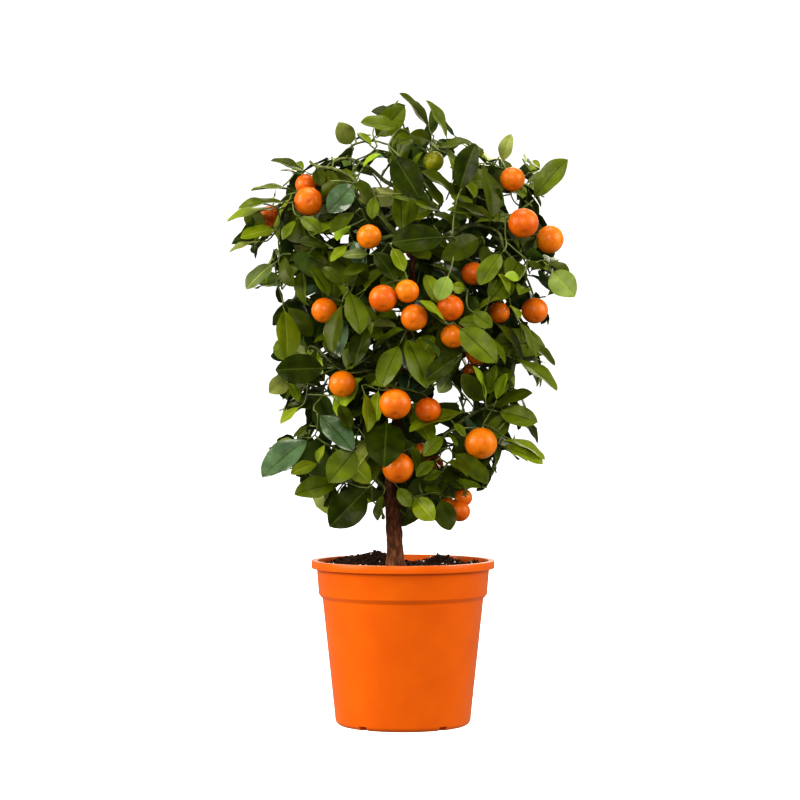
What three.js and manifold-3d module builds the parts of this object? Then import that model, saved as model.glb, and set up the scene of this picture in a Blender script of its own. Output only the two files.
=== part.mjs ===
// Calamondin orange tree in a round nursery pot.
// Millimetres, +Z up. The origin is the middle of the pot's flat underside,
// and the front of the plant faces -Y.
//
// The pot, the soil, the trunk, each bough and each mass of foliage is one
// closed solid. A mass keeps to its own cell of the crown: the space that is
// nearer to its heart than to the heart of any other mass.

import * as THREE from "three";
import { mergeVertices } from "three/addons/utils/BufferGeometryUtils.js";
import Module from "manifold-3d";

const wasm = await Module();
wasm.setup();

// ---------------------------------------------------------------- sizes

// Clear gap between two solids that touch on the real plant.
const GAP = 0.3;

const POT = {
  height: 170,
  wall: 1.5,
  floor: 2.2,
  lip: { bottom: 162, radius: 95, inside: 88.5, edge: 1.5 },
  collar: { topRadius: 89.5, bottom: 135, bottomRadius: 87.3 },
  body: { top: 130.6, topRadius: 83.5, bottomRadius: 70.2, corner: 6 },
  foot: { disc: 24, ringInside: 50, rise: 4, slope: 3 },
  drain: { count: 5, width: 9.4, height: 4.5, depth: 18 },
  segments: 25,
};

const SOIL = {
  bottom: 7,
  level: 163,
  mound: { x: -25, y: 50, height: 12, spread: 20 },
  flatRadius: 23,
  edgeDrop: 2,
  ringsFromEdge: [8, 28, 50],
};

// Centre line and radius of the trunk, from the soil to the tip.
const TRUNK = [
  { at: [-7.8, 0, SOIL.level + GAP], radius: 8.6 },
  { at: [-9.3, 1, 201], radius: 7.9 },
  { at: [-10.4, 1, 222], radius: 8 },
  { at: [-13, -1, 246], radius: 6.1 },
  { at: [-8, -3, 300], radius: 5.3 },
  { at: [2, 0, 385], radius: 4.4 },
  { at: [10, 3, 470], radius: 3.5 },
  { at: [12, 1, 530], radius: 2.8 },
  { at: [12, 0, 549], radius: 2.5 },
];
const TRUNK_MESH = { sides: 7, steps: 13, flare: 0.28, flareHeight: 9 };

// Pruned stub on the right of the trunk.
const STUB = { height: 226, direction: [1, -0.3, 0.35], length: 13, radius: 4.2 };

// Reach of the crown to the left, the right and to front and back, by height.
const CROWN = [
  { z: 202, left: 70, right: 46, deep: 45 },
  { z: 225, left: 92, right: 66, deep: 72 },
  { z: 252, left: 112, right: 92, deep: 92 },
  { z: 276, left: 144, right: 142, deep: 105 },
  { z: 330, left: 130, right: 138, deep: 116 },
  { z: 380, left: 139, right: 150, deep: 120 },
  { z: 430, left: 138, right: 152, deep: 120 },
  { z: 456, left: 162, right: 178, deep: 118 },
  { z: 500, left: 180, right: 166, deep: 114 },
  { z: 545, left: 163, right: 155, deep: 106 },
  { z: 576, left: 124, right: 164, deep: 92 },
  { z: 597, left: 90, right: 114, deep: 74 },
  { z: 618, left: 72, right: 58, deep: 54 },
  { z: 638, left: 30, right: 40, deep: 30 },
  { z: 652, left: 2, right: 16, deep: 10 },
];
// Between a round (2) and a square plan.
const CROWN_SQUARENESS = 2.6;

// Each mass: the height at which its limb leaves the trunk, the points that
// the limb passes, the heart of the mass's cell, where it ends, and its radius.
const MASSES = [
  { name: "low_left", from: 238, via: [[-38, 3, 263]], heart: [-87, -19, 275], radius: 3.9 },
  { name: "low_front", from: 262, via: [], heart: [12, -58, 288], radius: 2.8 },
  {
    name: "low_right",
    from: 254,
    via: [[14, -3, 280], [44, -6, 300]],
    heart: [76, -21, 287],
    radius: 3.7,
  },
  { name: "low_back", from: 280, via: [], heart: [0, 58, 312], radius: 3 },
  {
    name: "mid_left",
    from: 346,
    via: [[-29, -5, 366], [-62, -7, 371]],
    heart: [-96, 22, 388],
    radius: 3.4,
  },
  { name: "mid_front", from: 368, via: [], heart: [-28, -56, 414], radius: 2.7 },
  { name: "mid_right", from: 352, via: [[34, 3, 371]], heart: [96, 16, 394], radius: 3.3 },
  { name: "mid_back", from: 388, via: [], heart: [5, 62, 432], radius: 2.8 },
  {
    name: "high_left",
    from: 492,
    via: [[-33, -3, 529], [-66, -4, 566]],
    heart: [-110, -22, 512],
    radius: 2.9,
  },
  { name: "high_front", from: 452, via: [], heart: [-22, -50, 500], radius: 2.4 },
  {
    name: "high_right",
    from: 470,
    via: [[42, 0, 505], [76, -4, 518]],
    heart: [100, -21, 500],
    radius: 3,
  },
  { name: "high_back", from: 480, via: [], heart: [5, 60, 540], radius: 2.5 },
  { name: "top", from: 549, via: [], heart: [0, -5, 600], radius: 2.3 },
];
const LIMB_MESH = { sides: 5, step: 12, tipShare: 0.62 };
// The stem is the part of a limb inside its mass.
const STEM_MESH = { sides: 5, step: 14, tipRadius: 1.3 };

// Oranges that hang in plain sight from the front: centre and radius.
const FRUIT = [
  { at: [-96, -60, 537], radius: 14.7 },
  { at: [-99, -38, 556], radius: 11.2 },
  { at: [-34, -95, 499], radius: 12.5 },
  { at: [111, -55, 560], radius: 12.7 },
  { at: [121, -75, 514], radius: 15.4 },
  { at: [150, -40, 500], radius: 14.6 },
  { at: [137, 6, 429], radius: 13.9 },
  { at: [47, -95, 428], radius: 13.6 },
  { at: [4, -107, 444], radius: 12 },
  { at: [11, -105, 418], radius: 13.5 },
  { at: [-20, -105, 437], radius: 14.1 },
  { at: [50, -89, 400], radius: 12.6 },
  { at: [-8, -105, 332], radius: 15.9 },
  { at: [25, -85, 326], radius: 13 },
  { at: [79, -54, 292], radius: 16.6 },
  { at: [-5, -85, 268], radius: 15.9 },
  { at: [58, -32, 222], radius: 10.8 },
  { at: [-61, -85, 352], radius: 13.8 },
  { at: [-79, -80, 426], radius: 13.1 },
];

// Oranges that leaves half hide.
const SHADED_FRUIT = [
  { at: [-138, -5, 525], radius: 12.4 },
  { at: [71, -60, 464], radius: 12.1 },
  { at: [75, -59, 383], radius: 11.6 },
  { at: [99, -14, 426], radius: 11.3 },
  { at: [46, -14, 227], radius: 8.7 },
  { at: [62, -26, 236], radius: 9.2 },
  { at: [18, -32, 281], radius: 11.3 },
  { at: [70, -16, 365], radius: 9.3 },
];

// Leaves that stand out of the crown's edge or lie on top of it: where the
// leaf springs from, its tip, and which way its upper face looks.
const SHOWN_LEAVES = [
  { base: [31, -8, 611], tip: [0, -12, 652], face: [0.5, -0.8, 0.3], width: 13 },
  { base: [49, -6, 603], tip: [25, -10, 645], face: [0.7, -0.7, 0.2], width: 14 },
  { base: [-2, -20, 614], tip: [-44, -26, 620], face: [0, -0.75, 0.65], width: 19 },
  { base: [-27, -4, 603], tip: [5, -2, 636], face: [-0.3, -0.8, 0.4], width: 20 },
  { base: [-54, -8, 598], tip: [-62, -14, 624], face: [-0.3, -0.8, 0.5], width: 18 },
  { base: [31, -20, 598], tip: [71, -26, 602], face: [0, -0.6, 0.8], width: 17 },
  { base: [-8, -34, 604], tip: [20, -44, 562], face: [-0.1, -0.9, 0.4], width: 28 },
  { base: [94, -30, 580], tip: [78, -42, 540], face: [0.2, -0.95, 0.2], width: 20 },
  { base: [68, -40, 560], tip: [98, -52, 522], face: [0.1, -0.9, 0.4], width: 24 },
  { base: [44, -86, 498], tip: [-18, -97, 488], face: [0, -0.75, 0.66], width: 31 },
  { base: [-20, -96, 400], tip: [-22, -104, 360], face: [-0.2, -0.95, 0.2], width: 23 },
  { base: [4, -92, 408], tip: [26, -98, 366], face: [0.15, -0.95, 0.2], width: 26 },
  { base: [-66, -70, 384], tip: [-118, -84, 372], face: [0, -0.8, 0.6], width: 27 },
  { base: [-88, -50, 300], tip: [-143, -56, 266], face: [-0.2, -0.85, 0.5], width: 32 },
  { base: [-66, -62, 312], tip: [-68, -76, 266], face: [0.1, -0.9, 0.4], width: 28 },
  { base: [-46, -40, 250], tip: [-76, -48, 208], face: [-0.2, -0.85, 0.45], width: 34 },
  { base: [-30, -56, 290], tip: [-26, -70, 246], face: [0.1, -0.9, 0.3], width: 22 },
  { base: [150, -6, 555], tip: [170, -12, 590], face: [-0.6, -0.75, 0.3], width: 20 },
  { base: [104, -12, 572], tip: [118, -16, 612], face: [0.4, -0.85, 0.3], width: 18 },
  { base: [150, -20, 474], tip: [180, -26, 446], face: [0.2, -0.85, 0.5], width: 27 },
  { base: [120, -24, 400], tip: [160, -30, 356], face: [0.1, -0.6, 0.75], width: 16 },
  { base: [110, -40, 330], tip: [141, -50, 292], face: [0.2, -0.6, 0.75], width: 22 },
  { base: [92, -56, 338], tip: [134, -62, 314], face: [0.1, -0.7, 0.7], width: 26 },
  { base: [-130, -28, 518], tip: [-180, -34, 506], face: [-0.1, -0.75, 0.65], width: 20 },
  { base: [-128, -18, 540], tip: [-166, -28, 552], face: [0, -0.7, 0.7], width: 20 },
  { base: [-126, -14, 487], tip: [-176, -20, 482], face: [0, -0.8, 0.6], width: 22 },
  { base: [-118, -20, 478], tip: [-160, -26, 452], face: [-0.2, -0.85, 0.4], width: 24 },
  { base: [-112, -8, 432], tip: [-138, -30, 398], face: [-0.3, -0.85, 0.3], width: 25 },
];

// Long arching shoots that show against the sky, as points they pass.
const ARCHES = [
  { mass: "top", points: [[11, 0, 556], [-14, -4, 560], [-36, -6, 577], [-58, -6, 586], [-74, -8, 582]] },
  { mass: "top", points: [[-58, -6, 586], [-54, -8, 598], [-31, -8, 604], [-12, -8, 600], [3, -10, 607]] },
  { mass: "high_left", points: [[-110, -22, 512], [-123, -12, 505], [-128, -8, 485], [-125, -10, 450]] },
];
const ARCH_STEPS = 10;

// Lanes of open air through the whole crown, for an eye in front of it: the
// lane's middle in the plane of the trunk, and its radius there.
const EYE = { x: -3, y: -2490, z: 336 };
const AIR_LANES = [
  { x: 44, z: 344, radius: 10 },
  { x: 8, z: 624, radius: 4 },
  { x: -17, z: 605, radius: 3.5 },
  { x: 38, z: 550, radius: 8 },
  { x: -44, z: 595, radius: 7 },
  { x: -40, z: 563, radius: 7 },
  { x: -135, z: 500, radius: 7 },
  { x: 113, z: 539, radius: 6.5 },
  { x: 121, z: 366, radius: 6.5 },
  { x: 46, z: 569, radius: 6 },
  { x: 45, z: 278, radius: 6 },
  { x: -22, z: 582, radius: 5 },
  { x: 39, z: 306, radius: 5 },
  { x: -119, z: 446, radius: 5 },
  { x: 133, z: 458, radius: 5 },
  { x: 59, z: 592, radius: 5 },
];

// Shoots grow from a mass's stem to the emptiest of some rolled places.
const SHOOT = {
  perMass: 6,
  leastFree: 3,
  places: 60,
  reach: 85,
  fromBorder: 8,
  sides: 3,
  rootRadius: 1.3,
  tipRadius: 0.85,
  tries: 8,
  furthestBack: 0.4,
  clearOfFoot: 14,
  clearFrom: 0.4,
};

// Leaves stand along a shoot and turn on round it from one to the next.
const LEAF = {
  length: [50, 68],
  widthShare: 0.5,
  widthRoll: [0.88, 1.1],
  thickShare: 0.03,
  foldShare: 0.1,
  curlShare: 0.07,
  rootSink: 0.15,
  tipSink: 2.5,
  firstAt: 12,
  lastBeforeTip: 4,
  every: 12,
  everyByShown: 24,
  turn: 2.4,
  tries: 18,
  shrink: 0.35,
  leastRoom: 24,
  backFrom: 14,
  sideLook: 0.006,
};

// How much a leaf heads along its shoot and away from it to the side.
const LEAF_POSE = {
  atTip: { along: 1, sideways: 0.3 },
  onSide: { along: 0.35, sideways: 0.8 },
  turnOn: [0.3, 0.9],
  outward: [-0.1, 0.5],
  drop: [-0.25, 0.7],
  faceOut: [0.5, 1],
  faceUp: [0.3, 0.9],
  faceAside: [-0.3, 0.3],
};

// Oranges that the rule sets where the crown looks to the back.
const BACK_FRUIT = { radius: [11, 14.5], behind: 10 };
const FRUIT_MESH = { around: 7, down: 4, flatness: 0.94 };
const STALK = { sink: 0.5, back: 0.7, up: 0.75 };

// Room kept to a cell's border, a limb, an orange, a twig and another leaf.
const CLEAR = { cell: 0.6, limb: 2.6, fruit: 1.5, wood: 3, leaf: 4 };

// How far apart the points lie that stand for a limb, a new shoot and a twig.
const APART = { limb: 2.5, shoot: 3, wood: 4 };

// Seeds of the dice, for each kind of growth.
const SEED = { fruit: 1000, shown: 2000, more: 3000, leaves: 5000, next: 37 };
const DICE = { factor: 48271, faces: 2147483647 };

// ------------------------------------------------------------- materials

const finish = (color, roughness) => new THREE.MeshStandardMaterial({ color, roughness, metalness: 0 });
const POT_ORANGE = finish(0xf56a05, 0.42);
const SOIL_BROWN = finish(0x36261a, 0.95);
const BARK_BROWN = finish(0x5a4030, 0.85);
const BOUGH_OLIVE = finish(0x5d5a2c, 0.75);
const LEAF_GREEN = finish(0x3f6414, 0.45);

// ---------------------------------------------------------------- helpers

const vector = ([x, y, z]) => new THREE.Vector3(x, y, z);
const mix = THREE.MathUtils.lerp;
const UP = new THREE.Vector3(0, 0, 1);

// Closed solid of a geometry whose faces share their corners.
function solidOf(geometry) {
  geometry.deleteAttribute("normal");
  geometry.deleteAttribute("uv");
  const joined = mergeVertices(geometry, 1e-4);
  const corners = joined.index.array;
  const faces = [];
  for (let i = 0; i < corners.length; i += 3) {
    const [a, b, c] = corners.slice(i, i + 3);
    if (a !== b && b !== c && c !== a) faces.push(a, b, c);
  }
  const vertProperties = new Float32Array(joined.attributes.position.array);
  const triVerts = new Uint32Array(faces);
  return new wasm.Manifold(new wasm.Mesh({ numProp: 3, vertProperties, triVerts }));
}

// Named mesh of a solid.
function meshOf(name, solid, material) {
  const { vertProperties, triVerts } = solid.getMesh();
  const geometry = new THREE.BufferGeometry();
  geometry.setAttribute("position", new THREE.BufferAttribute(vertProperties, 3));
  geometry.setIndex(new THREE.BufferAttribute(triVerts, 1));
  geometry.computeVertexNormals();
  const mesh = new THREE.Mesh(geometry, material);
  mesh.name = name;
  return mesh;
}

// Joins solids and keeps the largest piece, so no scrap is left loose.
function fuse(solids) {
  const pieces = wasm.Manifold.union(solids).decompose();
  return pieces.reduce((largest, piece) => (piece.volume() > largest.volume() ? piece : largest));
}

// Repeatable dice: the same seed always gives the same rolls.
class Dice {
  constructor(seed) {
    this.state = seed;
    this.roll(0, 1);
  }

  roll(low, high) {
    this.state = (this.state * DICE.factor) % DICE.faces;
    return mix(low, high, this.state / DICE.faces);
  }
}

// Value of a table row between two heights.
function atHeight(rows, z, heightOf, blend) {
  const next = rows.findIndex((row) => heightOf(row) > z);
  if (next <= 0) return blend(rows.at(next), rows.at(next), 0);
  const [low, high] = [rows[next - 1], rows[next]];
  return blend(low, high, (z - heightOf(low)) / (heightOf(high) - heightOf(low)));
}

// Value of a table of pairs, each a place and the value there.
function inRows(rows, at) {
  return atHeight(rows, at, (row) => row[0], (low, high, share) => mix(low[1], high[1], share));
}

// A round rod bent along a curve, thick as radiusAt says from root to tip.
function rodGeometry(curve, radiusAt, sides, steps) {
  const geometry = new THREE.CylinderGeometry(1, 1, 1, sides, steps);
  const frames = curve.computeFrenetFrames(steps, false);
  const place = geometry.attributes.position;
  for (let i = 0; i < place.count; i += 1) {
    const step = Math.round((place.getY(i) + 0.5) * steps);
    const share = step / steps;
    const radius = radiusAt(share);
    const point = curve.getPointAt(share);
    point.addScaledVector(frames.normals[step], place.getX(i) * radius);
    point.addScaledVector(frames.binormals[step], -place.getZ(i) * radius);
    place.setXYZ(i, point.x, point.y, point.z);
  }
  return geometry;
}

// The stretch of a curve between two shares of its length, in straight steps
// of about the given size, so that it runs along the middle of its own rod.
// Its ends are square to the whole curve.
class Stretch extends THREE.Curve {
  constructor(whole, start, end, stepSize) {
    super();
    this.tangentAt = (share) => whole.getTangentAt(mix(start, end, share));
    this.steps = Math.max(2, Math.ceil((whole.getLength() * (end - start)) / stepSize));
    this.points = [];
    for (let i = 0; i <= this.steps; i += 1) {
      this.points.push(whole.getPointAt(mix(start, end, i / this.steps)));
    }
  }

  getPoint(share) {
    const at = Math.min(share * this.steps, this.steps - 1e-6);
    const step = Math.floor(at);
    return this.points[step].clone().lerp(this.points[step + 1], at - step);
  }

  getTangent(share) {
    return this.tangentAt(share);
  }
}

// ------------------------------------------------------------ pot and soil

// Radius of the inside of the pot's wall at a height above its corner.
function insideRadius(z) {
  const { lip, collar, body, wall } = POT;
  const outside = [
    [body.corner, body.bottomRadius],
    [body.top, body.topRadius],
    [collar.bottom, collar.bottomRadius],
    [lip.bottom, collar.topRadius],
    [POT.height, lip.inside + wall],
  ];
  return inRows(outside, z) - wall;
}

// Closed body of revolution about the vertical axis.
function spin(profile, segments) {
  const points = profile.map(([radius, z]) => new THREE.Vector2(radius, z));
  return new THREE.LatheGeometry(points, segments).rotateX(Math.PI / 2);
}

// Thin-walled pot with a lip, a collar, a raised ring under it and notches
// for drainage in its bottom edge.
function buildPot() {
  const { lip, collar, body, foot, wall, floor, height } = POT;
  const { corner } = body;
  const cornerBend = [0, 0.5, 1].map((share) => {
    const angle = (share * Math.PI) / 2;
    return [
      body.bottomRadius - corner * (1 - Math.sin(angle)),
      corner * (1 - Math.cos(angle)),
    ];
  });
  const outside = [
    [0, 0],
    [foot.disc, 0],
    [foot.disc + foot.slope, foot.rise],
    [foot.ringInside - foot.slope, foot.rise],
    [foot.ringInside, 0],
    ...cornerBend,
    [body.topRadius, body.top],
    [collar.bottomRadius, collar.bottom],
    [collar.topRadius, lip.bottom],
    [lip.radius, lip.bottom],
    [lip.radius, height - lip.edge],
    [lip.radius - lip.edge, height],
  ];
  const inside = [
    [lip.inside, height],
    [insideRadius(lip.bottom), lip.bottom],
    [insideRadius(collar.bottom), collar.bottom],
    [insideRadius(body.top), body.top],
    [insideRadius(corner), corner],
    [insideRadius(corner) - corner + wall, floor],
    [foot.ringInside, floor],
    [foot.ringInside - foot.slope, foot.rise + floor],
    [foot.disc + foot.slope, foot.rise + floor],
    [foot.disc, floor],
    [0, floor],
  ];
  let pot = solidOf(spin([...outside, ...inside], POT.segments));
  const { drain } = POT;
  for (let i = 0; i < drain.count; i += 1) {
    const notch = new THREE.BoxGeometry(drain.depth, drain.width, 2 * drain.height);
    notch.translate(body.bottomRadius, 0, 0);
    notch.rotateZ(((i + 0.5) / drain.count) * 2 * Math.PI - Math.PI / 2);
    pot = pot.subtract(solidOf(notch));
  }
  return pot;
}

// Height of the soil's mound at a place; the soil is flat round the trunk.
function moundAt(x, y) {
  const { mound, flatRadius } = SOIL;
  if (Math.hypot(x, y) < flatRadius + GAP) return 0;
  const away = Math.hypot(x - mound.x, y - mound.y) / mound.spread;
  return mound.height * Math.exp(-away * away);
}

// The soil fills the pot to its level, with a mound at the back.
function buildSoil() {
  const edge = insideRadius(SOIL.level) - GAP;
  const rings = SOIL.ringsFromEdge.map((inward) => edge - inward);
  const profile = [
    [0, SOIL.bottom],
    [insideRadius(SOIL.bottom) - GAP, SOIL.bottom],
    [insideRadius(POT.body.top) - GAP, POT.body.top],
    [edge, SOIL.level - SOIL.edgeDrop],
    ...[...rings, SOIL.flatRadius, 0].map((radius) => [radius, SOIL.level]),
  ];
  const geometry = spin(profile, POT.segments);
  const place = geometry.attributes.position;
  for (let i = 0; i < place.count; i += 1) {
    const onTop = place.getZ(i) > SOIL.level - SOIL.edgeDrop / 2;
    if (onTop) place.setZ(i, place.getZ(i) + moundAt(place.getX(i), place.getY(i)));
  }
  return solidOf(geometry);
}

// ------------------------------------------------------------------ limbs

// The trunk's centre line, with its tip raised by an extra length.
function trunkLine(extra) {
  const points = TRUNK.map(({ at }) => vector(at));
  points.at(-1).z += extra;
  return new THREE.CatmullRomCurve3(points);
}

const trunkCurve = trunkLine(0);

// Radius of the trunk at a height, with its flare at the soil.
function trunkRadius(z) {
  const rise = z - TRUNK[0].at[2];
  const flare = 1 + TRUNK_MESH.flare * Math.exp(-rise / TRUNK_MESH.flareHeight);
  const heightOf = (row) => row.at[2];
  return flare * atHeight(TRUNK, z, heightOf, (low, high, share) => mix(low.radius, high.radius, share));
}

// Middle of the trunk at a height.
function trunkPoint(z) {
  const heightOf = (row) => row.at[2];
  return atHeight(TRUNK, z, heightOf, (low, high, share) => vector(low.at).lerp(vector(high.at), share));
}

function stubCurve(extra) {
  const root = trunkPoint(STUB.height);
  const tip = root.clone().addScaledVector(vector(STUB.direction).normalize(), STUB.length + extra);
  return new THREE.LineCurve3(root, tip);
}

// The trunk with its stub, thicker all over by an extra amount.
function trunkSolid(extra) {
  const line = trunkLine(extra);
  const radiusAt = (share) => trunkRadius(line.getPointAt(share).z) + extra;
  const trunk = solidOf(rodGeometry(line, radiusAt, TRUNK_MESH.sides, TRUNK_MESH.steps));
  const stub = solidOf(rodGeometry(stubCurve(extra), () => STUB.radius + extra, LIMB_MESH.sides, 1));
  return fuse([trunk, stub]);
}

// Cuts a solid off flat just above the soil.
function flatFoot(solid) {
  const side = 80;
  const below = new THREE.BoxGeometry(side, side, side);
  below.translate(0, 0, SOIL.level + GAP - side / 2);
  return solid.subtract(solidOf(below));
}

// Limb from the trunk to the heart of a mass, with the share of its length
// at which it enters the mass.
function limbOf(mass) {
  const points = [trunkPoint(mass.from), ...mass.via.map(vector), vector(mass.heart)];
  const curve = new THREE.CatmullRomCurve3(points);
  const length = curve.getLength();
  const tipRadius = mass.radius * LIMB_MESH.tipShare;
  const radiusAt = (share) => mix(mass.radius, tipRadius, share);
  const isOutside = (share) => !cellHolds(mass, curve.getPointAt(share), radiusAt(share) + CLEAR.cell);
  let enter = 0;
  while (isOutside(enter)) enter += 1 / length;
  const meetsTrunk = curve.getPointAt(enter).distanceTo(points[0]) < 2 * trunkRadius(mass.from);
  return { curve, length, radiusAt, enter, meetsTrunk };
}

// Bough of a limb: the part of it outside its mass.
function boughSolid(limb) {
  const curve = new Stretch(limb.curve, 0, limb.enter, LIMB_MESH.step);
  const radiusAt = (share) => limb.radiusAt(share * limb.enter);
  return solidOf(rodGeometry(curve, radiusAt, LIMB_MESH.sides, curve.steps));
}

// -------------------------------------------------- space of each mass

const hearts = new Map(MASSES.map((mass) => [mass.name, vector(mass.heart)]));

// True where a point lies in a mass's own cell, by at least the margin.
function cellHolds(mass, point, margin) {
  const heart = hearts.get(mass.name);
  for (const other of hearts.values()) {
    if (other === heart) continue;
    const across = other.clone().sub(heart);
    const limit = across.length() / 2 - margin;
    if (point.clone().sub(heart).dot(across.normalize()) > limit) return false;
  }
  return true;
}

// True where a point lies within the crown's reach.
function crownHolds(point) {
  if (point.z < CROWN[0].z || point.z > CROWN.at(-1).z) return false;
  const reach = (side) => inRows(CROWN.map((row) => [row.z, row[side]]), point.z);
  const [left, right, deep] = ["left", "right", "deep"].map(reach);
  const across = (2 * point.x - right + left) / (right + left);
  const away = Math.abs(across) ** CROWN_SQUARENESS + Math.abs(point.y / deep) ** CROWN_SQUARENESS;
  return away <= 1;
}

// Where the eye in front sees a point, in the plane of the trunk.
function sighted(point) {
  const share = -EYE.y / (point.y - EYE.y);
  return { x: mix(EYE.x, point.x, share), z: mix(EYE.z, point.z, share) };
}

// Lanes in front of the oranges that hang in plain sight.
const fruitLanes = FRUIT.map(({ at, radius }) => ({ ...sighted(vector(at)), radius, behind: at[1] }));

// True where a point lies in a lane of air, or hides an orange from the front.
function inOpenAir(point) {
  const seen = sighted(point);
  const inLane = ({ x, z, radius }) => Math.hypot(seen.x - x, seen.z - z) < radius;
  return AIR_LANES.some(inLane) || fruitLanes.some((lane) => point.y < lane.behind && inLane(lane));
}

// Middles of all leaves grown so far, in every mass.
const leafMiddles = [];

const limbs = new Map(MASSES.map((mass) => [mass.name, limbOf(mass)]));
const barred = barredByLimbs();

// Balls along the trunk and the boughs that leaves and twigs stay out of.
function barredByLimbs() {
  const balls = [];
  const line = (curve, end, radiusAt) => {
    const count = Math.ceil((curve.getLength() * end) / APART.limb);
    for (let i = 0; i <= count; i += 1) {
      const share = (end * i) / count;
      balls.push({ middle: curve.getPointAt(share), radius: radiusAt(share) });
    }
  };
  line(trunkCurve, 1, (share) => trunkRadius(trunkCurve.getPointAt(share).z));
  line(stubCurve(0), 1, () => STUB.radius);
  for (const limb of limbs.values()) {
    if (!limb.meetsTrunk) line(limb.curve, limb.enter, limb.radiusAt);
  }
  return balls;
}

// True where a point lies nearer to a limb than the margin.
function touchesLimb(point, margin) {
  return barred.some(({ middle, radius }) => middle.distanceTo(point) < radius + margin);
}

// True where a point lies nearer to an orange than the margin, its own aside.
function touchesFruit(point, fruits, own, margin) {
  return fruits.some((fruit) => fruit !== own && fruit.middle.distanceTo(point) < fruit.radius + margin);
}

// ------------------------------------------------------------------ leaves

// Half the width of a six-sided outline of radius 1.
const HEX_HALF = Math.sqrt(3) / 2;

// Share of the leaf's length from its root, for places along that outline.
const LEAF_RUN = [[-1, 0], [-0.5, 0.36], [0.5, 0.71], [1, 1]];

// A point of a leaf: along runs from -1 at its root to 1 at its tip, side
// from -1 to 1 across it, and skin from -1 under it to 1 on top.
function leafPoint(leaf, along, skin, side) {
  const { root, heading, face, across, length, width } = leaf;
  const run = inRows(LEAF_RUN, along);
  const thick = (length * LEAF.thickShare) / 2;
  const middle = 1 - along * along;
  const rise = skin * thick - Math.abs(skin) * width * LEAF.foldShare * middle;
  const curl = length * LEAF.curlShare * run * run;
  return root
    .clone()
    .addScaledVector(heading, run * length)
    .addScaledVector(across, (side * width) / (2 * HEX_HALF))
    .addScaledVector(face, rise - curl);
}

// A leaf of twelve faces: a ball of six sides drawn out flat.
function leafGeometry(leaf) {
  const geometry = new THREE.SphereGeometry(1, 6, 2);
  const place = geometry.attributes.position;
  for (let i = 0; i < place.count; i += 1) {
    const point = leafPoint(leaf, place.getX(i), place.getY(i), place.getZ(i));
    place.setXYZ(i, point.x, point.y, point.z);
  }
  return geometry;
}

// A leaf's own frame, with its root sunk a little into its twig.
function leafFrom(root, heading, face, length, width) {
  const across = new THREE.Vector3().crossVectors(heading, face).normalize();
  const square = new THREE.Vector3().crossVectors(across, heading);
  const sunk = root.clone().addScaledVector(heading, -LEAF.rootSink);
  return { root: sunk, heading, face: square, across, length: length + LEAF.rootSink, width };
}

// Points spread over a leaf's blade.
const LEAF_LATTICE = [];
for (let along = -0.6; along < 1.01; along += 0.2) {
  const half = HEX_HALF * Math.min(1, 2 * (1 - Math.abs(along)));
  for (const side of [-half, 0, half]) LEAF_LATTICE.push([along, 0, side]);
}
const LEAF_CORNERS = [[-1, 0, 0], [1, 0, 0], [0, 1, 0], [0, -1, 0]];
for (const along of [-0.5, 0.5]) {
  for (const side of [-HEX_HALF, HEX_HALF]) LEAF_CORNERS.push([along, 0, side]);
}

// True where a leaf keeps to its mass's cell and clear of limbs, fruit and
// twigs. A leaf whose place is not given also keeps to the crown's reach, out
// of the open air and clear of other leaves.
function leafFits(leaf, mass, grown, own, given) {
  for (const corner of LEAF_CORNERS) {
    const point = leafPoint(leaf, ...corner);
    if (!cellHolds(mass, point, CLEAR.cell)) return false;
    if (!given && !crownHolds(point)) return false;
  }
  const blade = bladeOf(leaf);
  for (const point of blade) {
    if (touchesLimb(point, CLEAR.limb)) return false;
    if (touchesFruit(point, grown.fruits, own, CLEAR.fruit)) return false;
    if (nearAny(point, grown.wood, CLEAR.wood)) return false;
    if (!given && inOpenAir(point)) return false;
  }
  const touches = (other) => blade.some((point) => nearAny(point, other.blade, CLEAR.leaf));
  return given || !grown.leaves.some(touches);
}

// Points all over a leaf.
function bladeOf(leaf) {
  return LEAF_LATTICE.map((place) => leafPoint(leaf, ...place));
}

// True where a point lies nearer to any of the others than a distance.
function nearAny(point, others, distance) {
  return others.some((other) => other.distanceToSquared(point) < distance * distance);
}

// Points along a shoot or a stem, which stand for its wood.
function woodOf(curve) {
  return curve.getSpacedPoints(Math.ceil(curve.getLength() / APART.wood));
}

// Sets leaves along a shoot, turned on from leaf to leaf, and one at its end.
// Each takes the pose, of those that fit, that is farthest from other leaves.
function dressShoot(mass, grown, shoot, dice) {
  const length = shoot.curve.getLength();
  const stops = [];
  const every = shoot.bearsShown ? LEAF.everyByShown : LEAF.every;
  for (let at = LEAF.firstAt; at < length - LEAF.lastBeforeTip; at += every) stops.push(at / length);
  if (!shoot.fruit && !shoot.bearsShown) stops.push(1 - LEAF.tipSink / length);
  let turn = dice.roll(0, 2 * Math.PI);
  for (const share of stops) {
    const root = shoot.curve.getPointAt(share);
    const along = shoot.curve.getTangentAt(share);
    let best = null;
    for (let attempt = 0; attempt < LEAF.tries; attempt += 1) {
      const leaf = turnedLeaf(root, along, turn, share === stops.at(-1), attempt, dice);
      leaf.room = distanceToNearest(middleOf(leaf), leafMiddles);
      if (best && best.room >= leaf.room) continue;
      if (leafFits(leaf, mass, grown, shoot.fruit, false)) best = leaf;
    }
    if (best && best.room > LEAF.leastRoom) addLeaf(grown, best);
    turn += LEAF.turn;
  }
}

function addLeaf(grown, leaf) {
  grown.leaves.push({ ...leaf, blade: bladeOf(leaf) });
  leafMiddles.push(middleOf(leaf));
}

function middleOf(leaf) {
  return leafPoint(leaf, 0, 0, 0);
}

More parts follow.
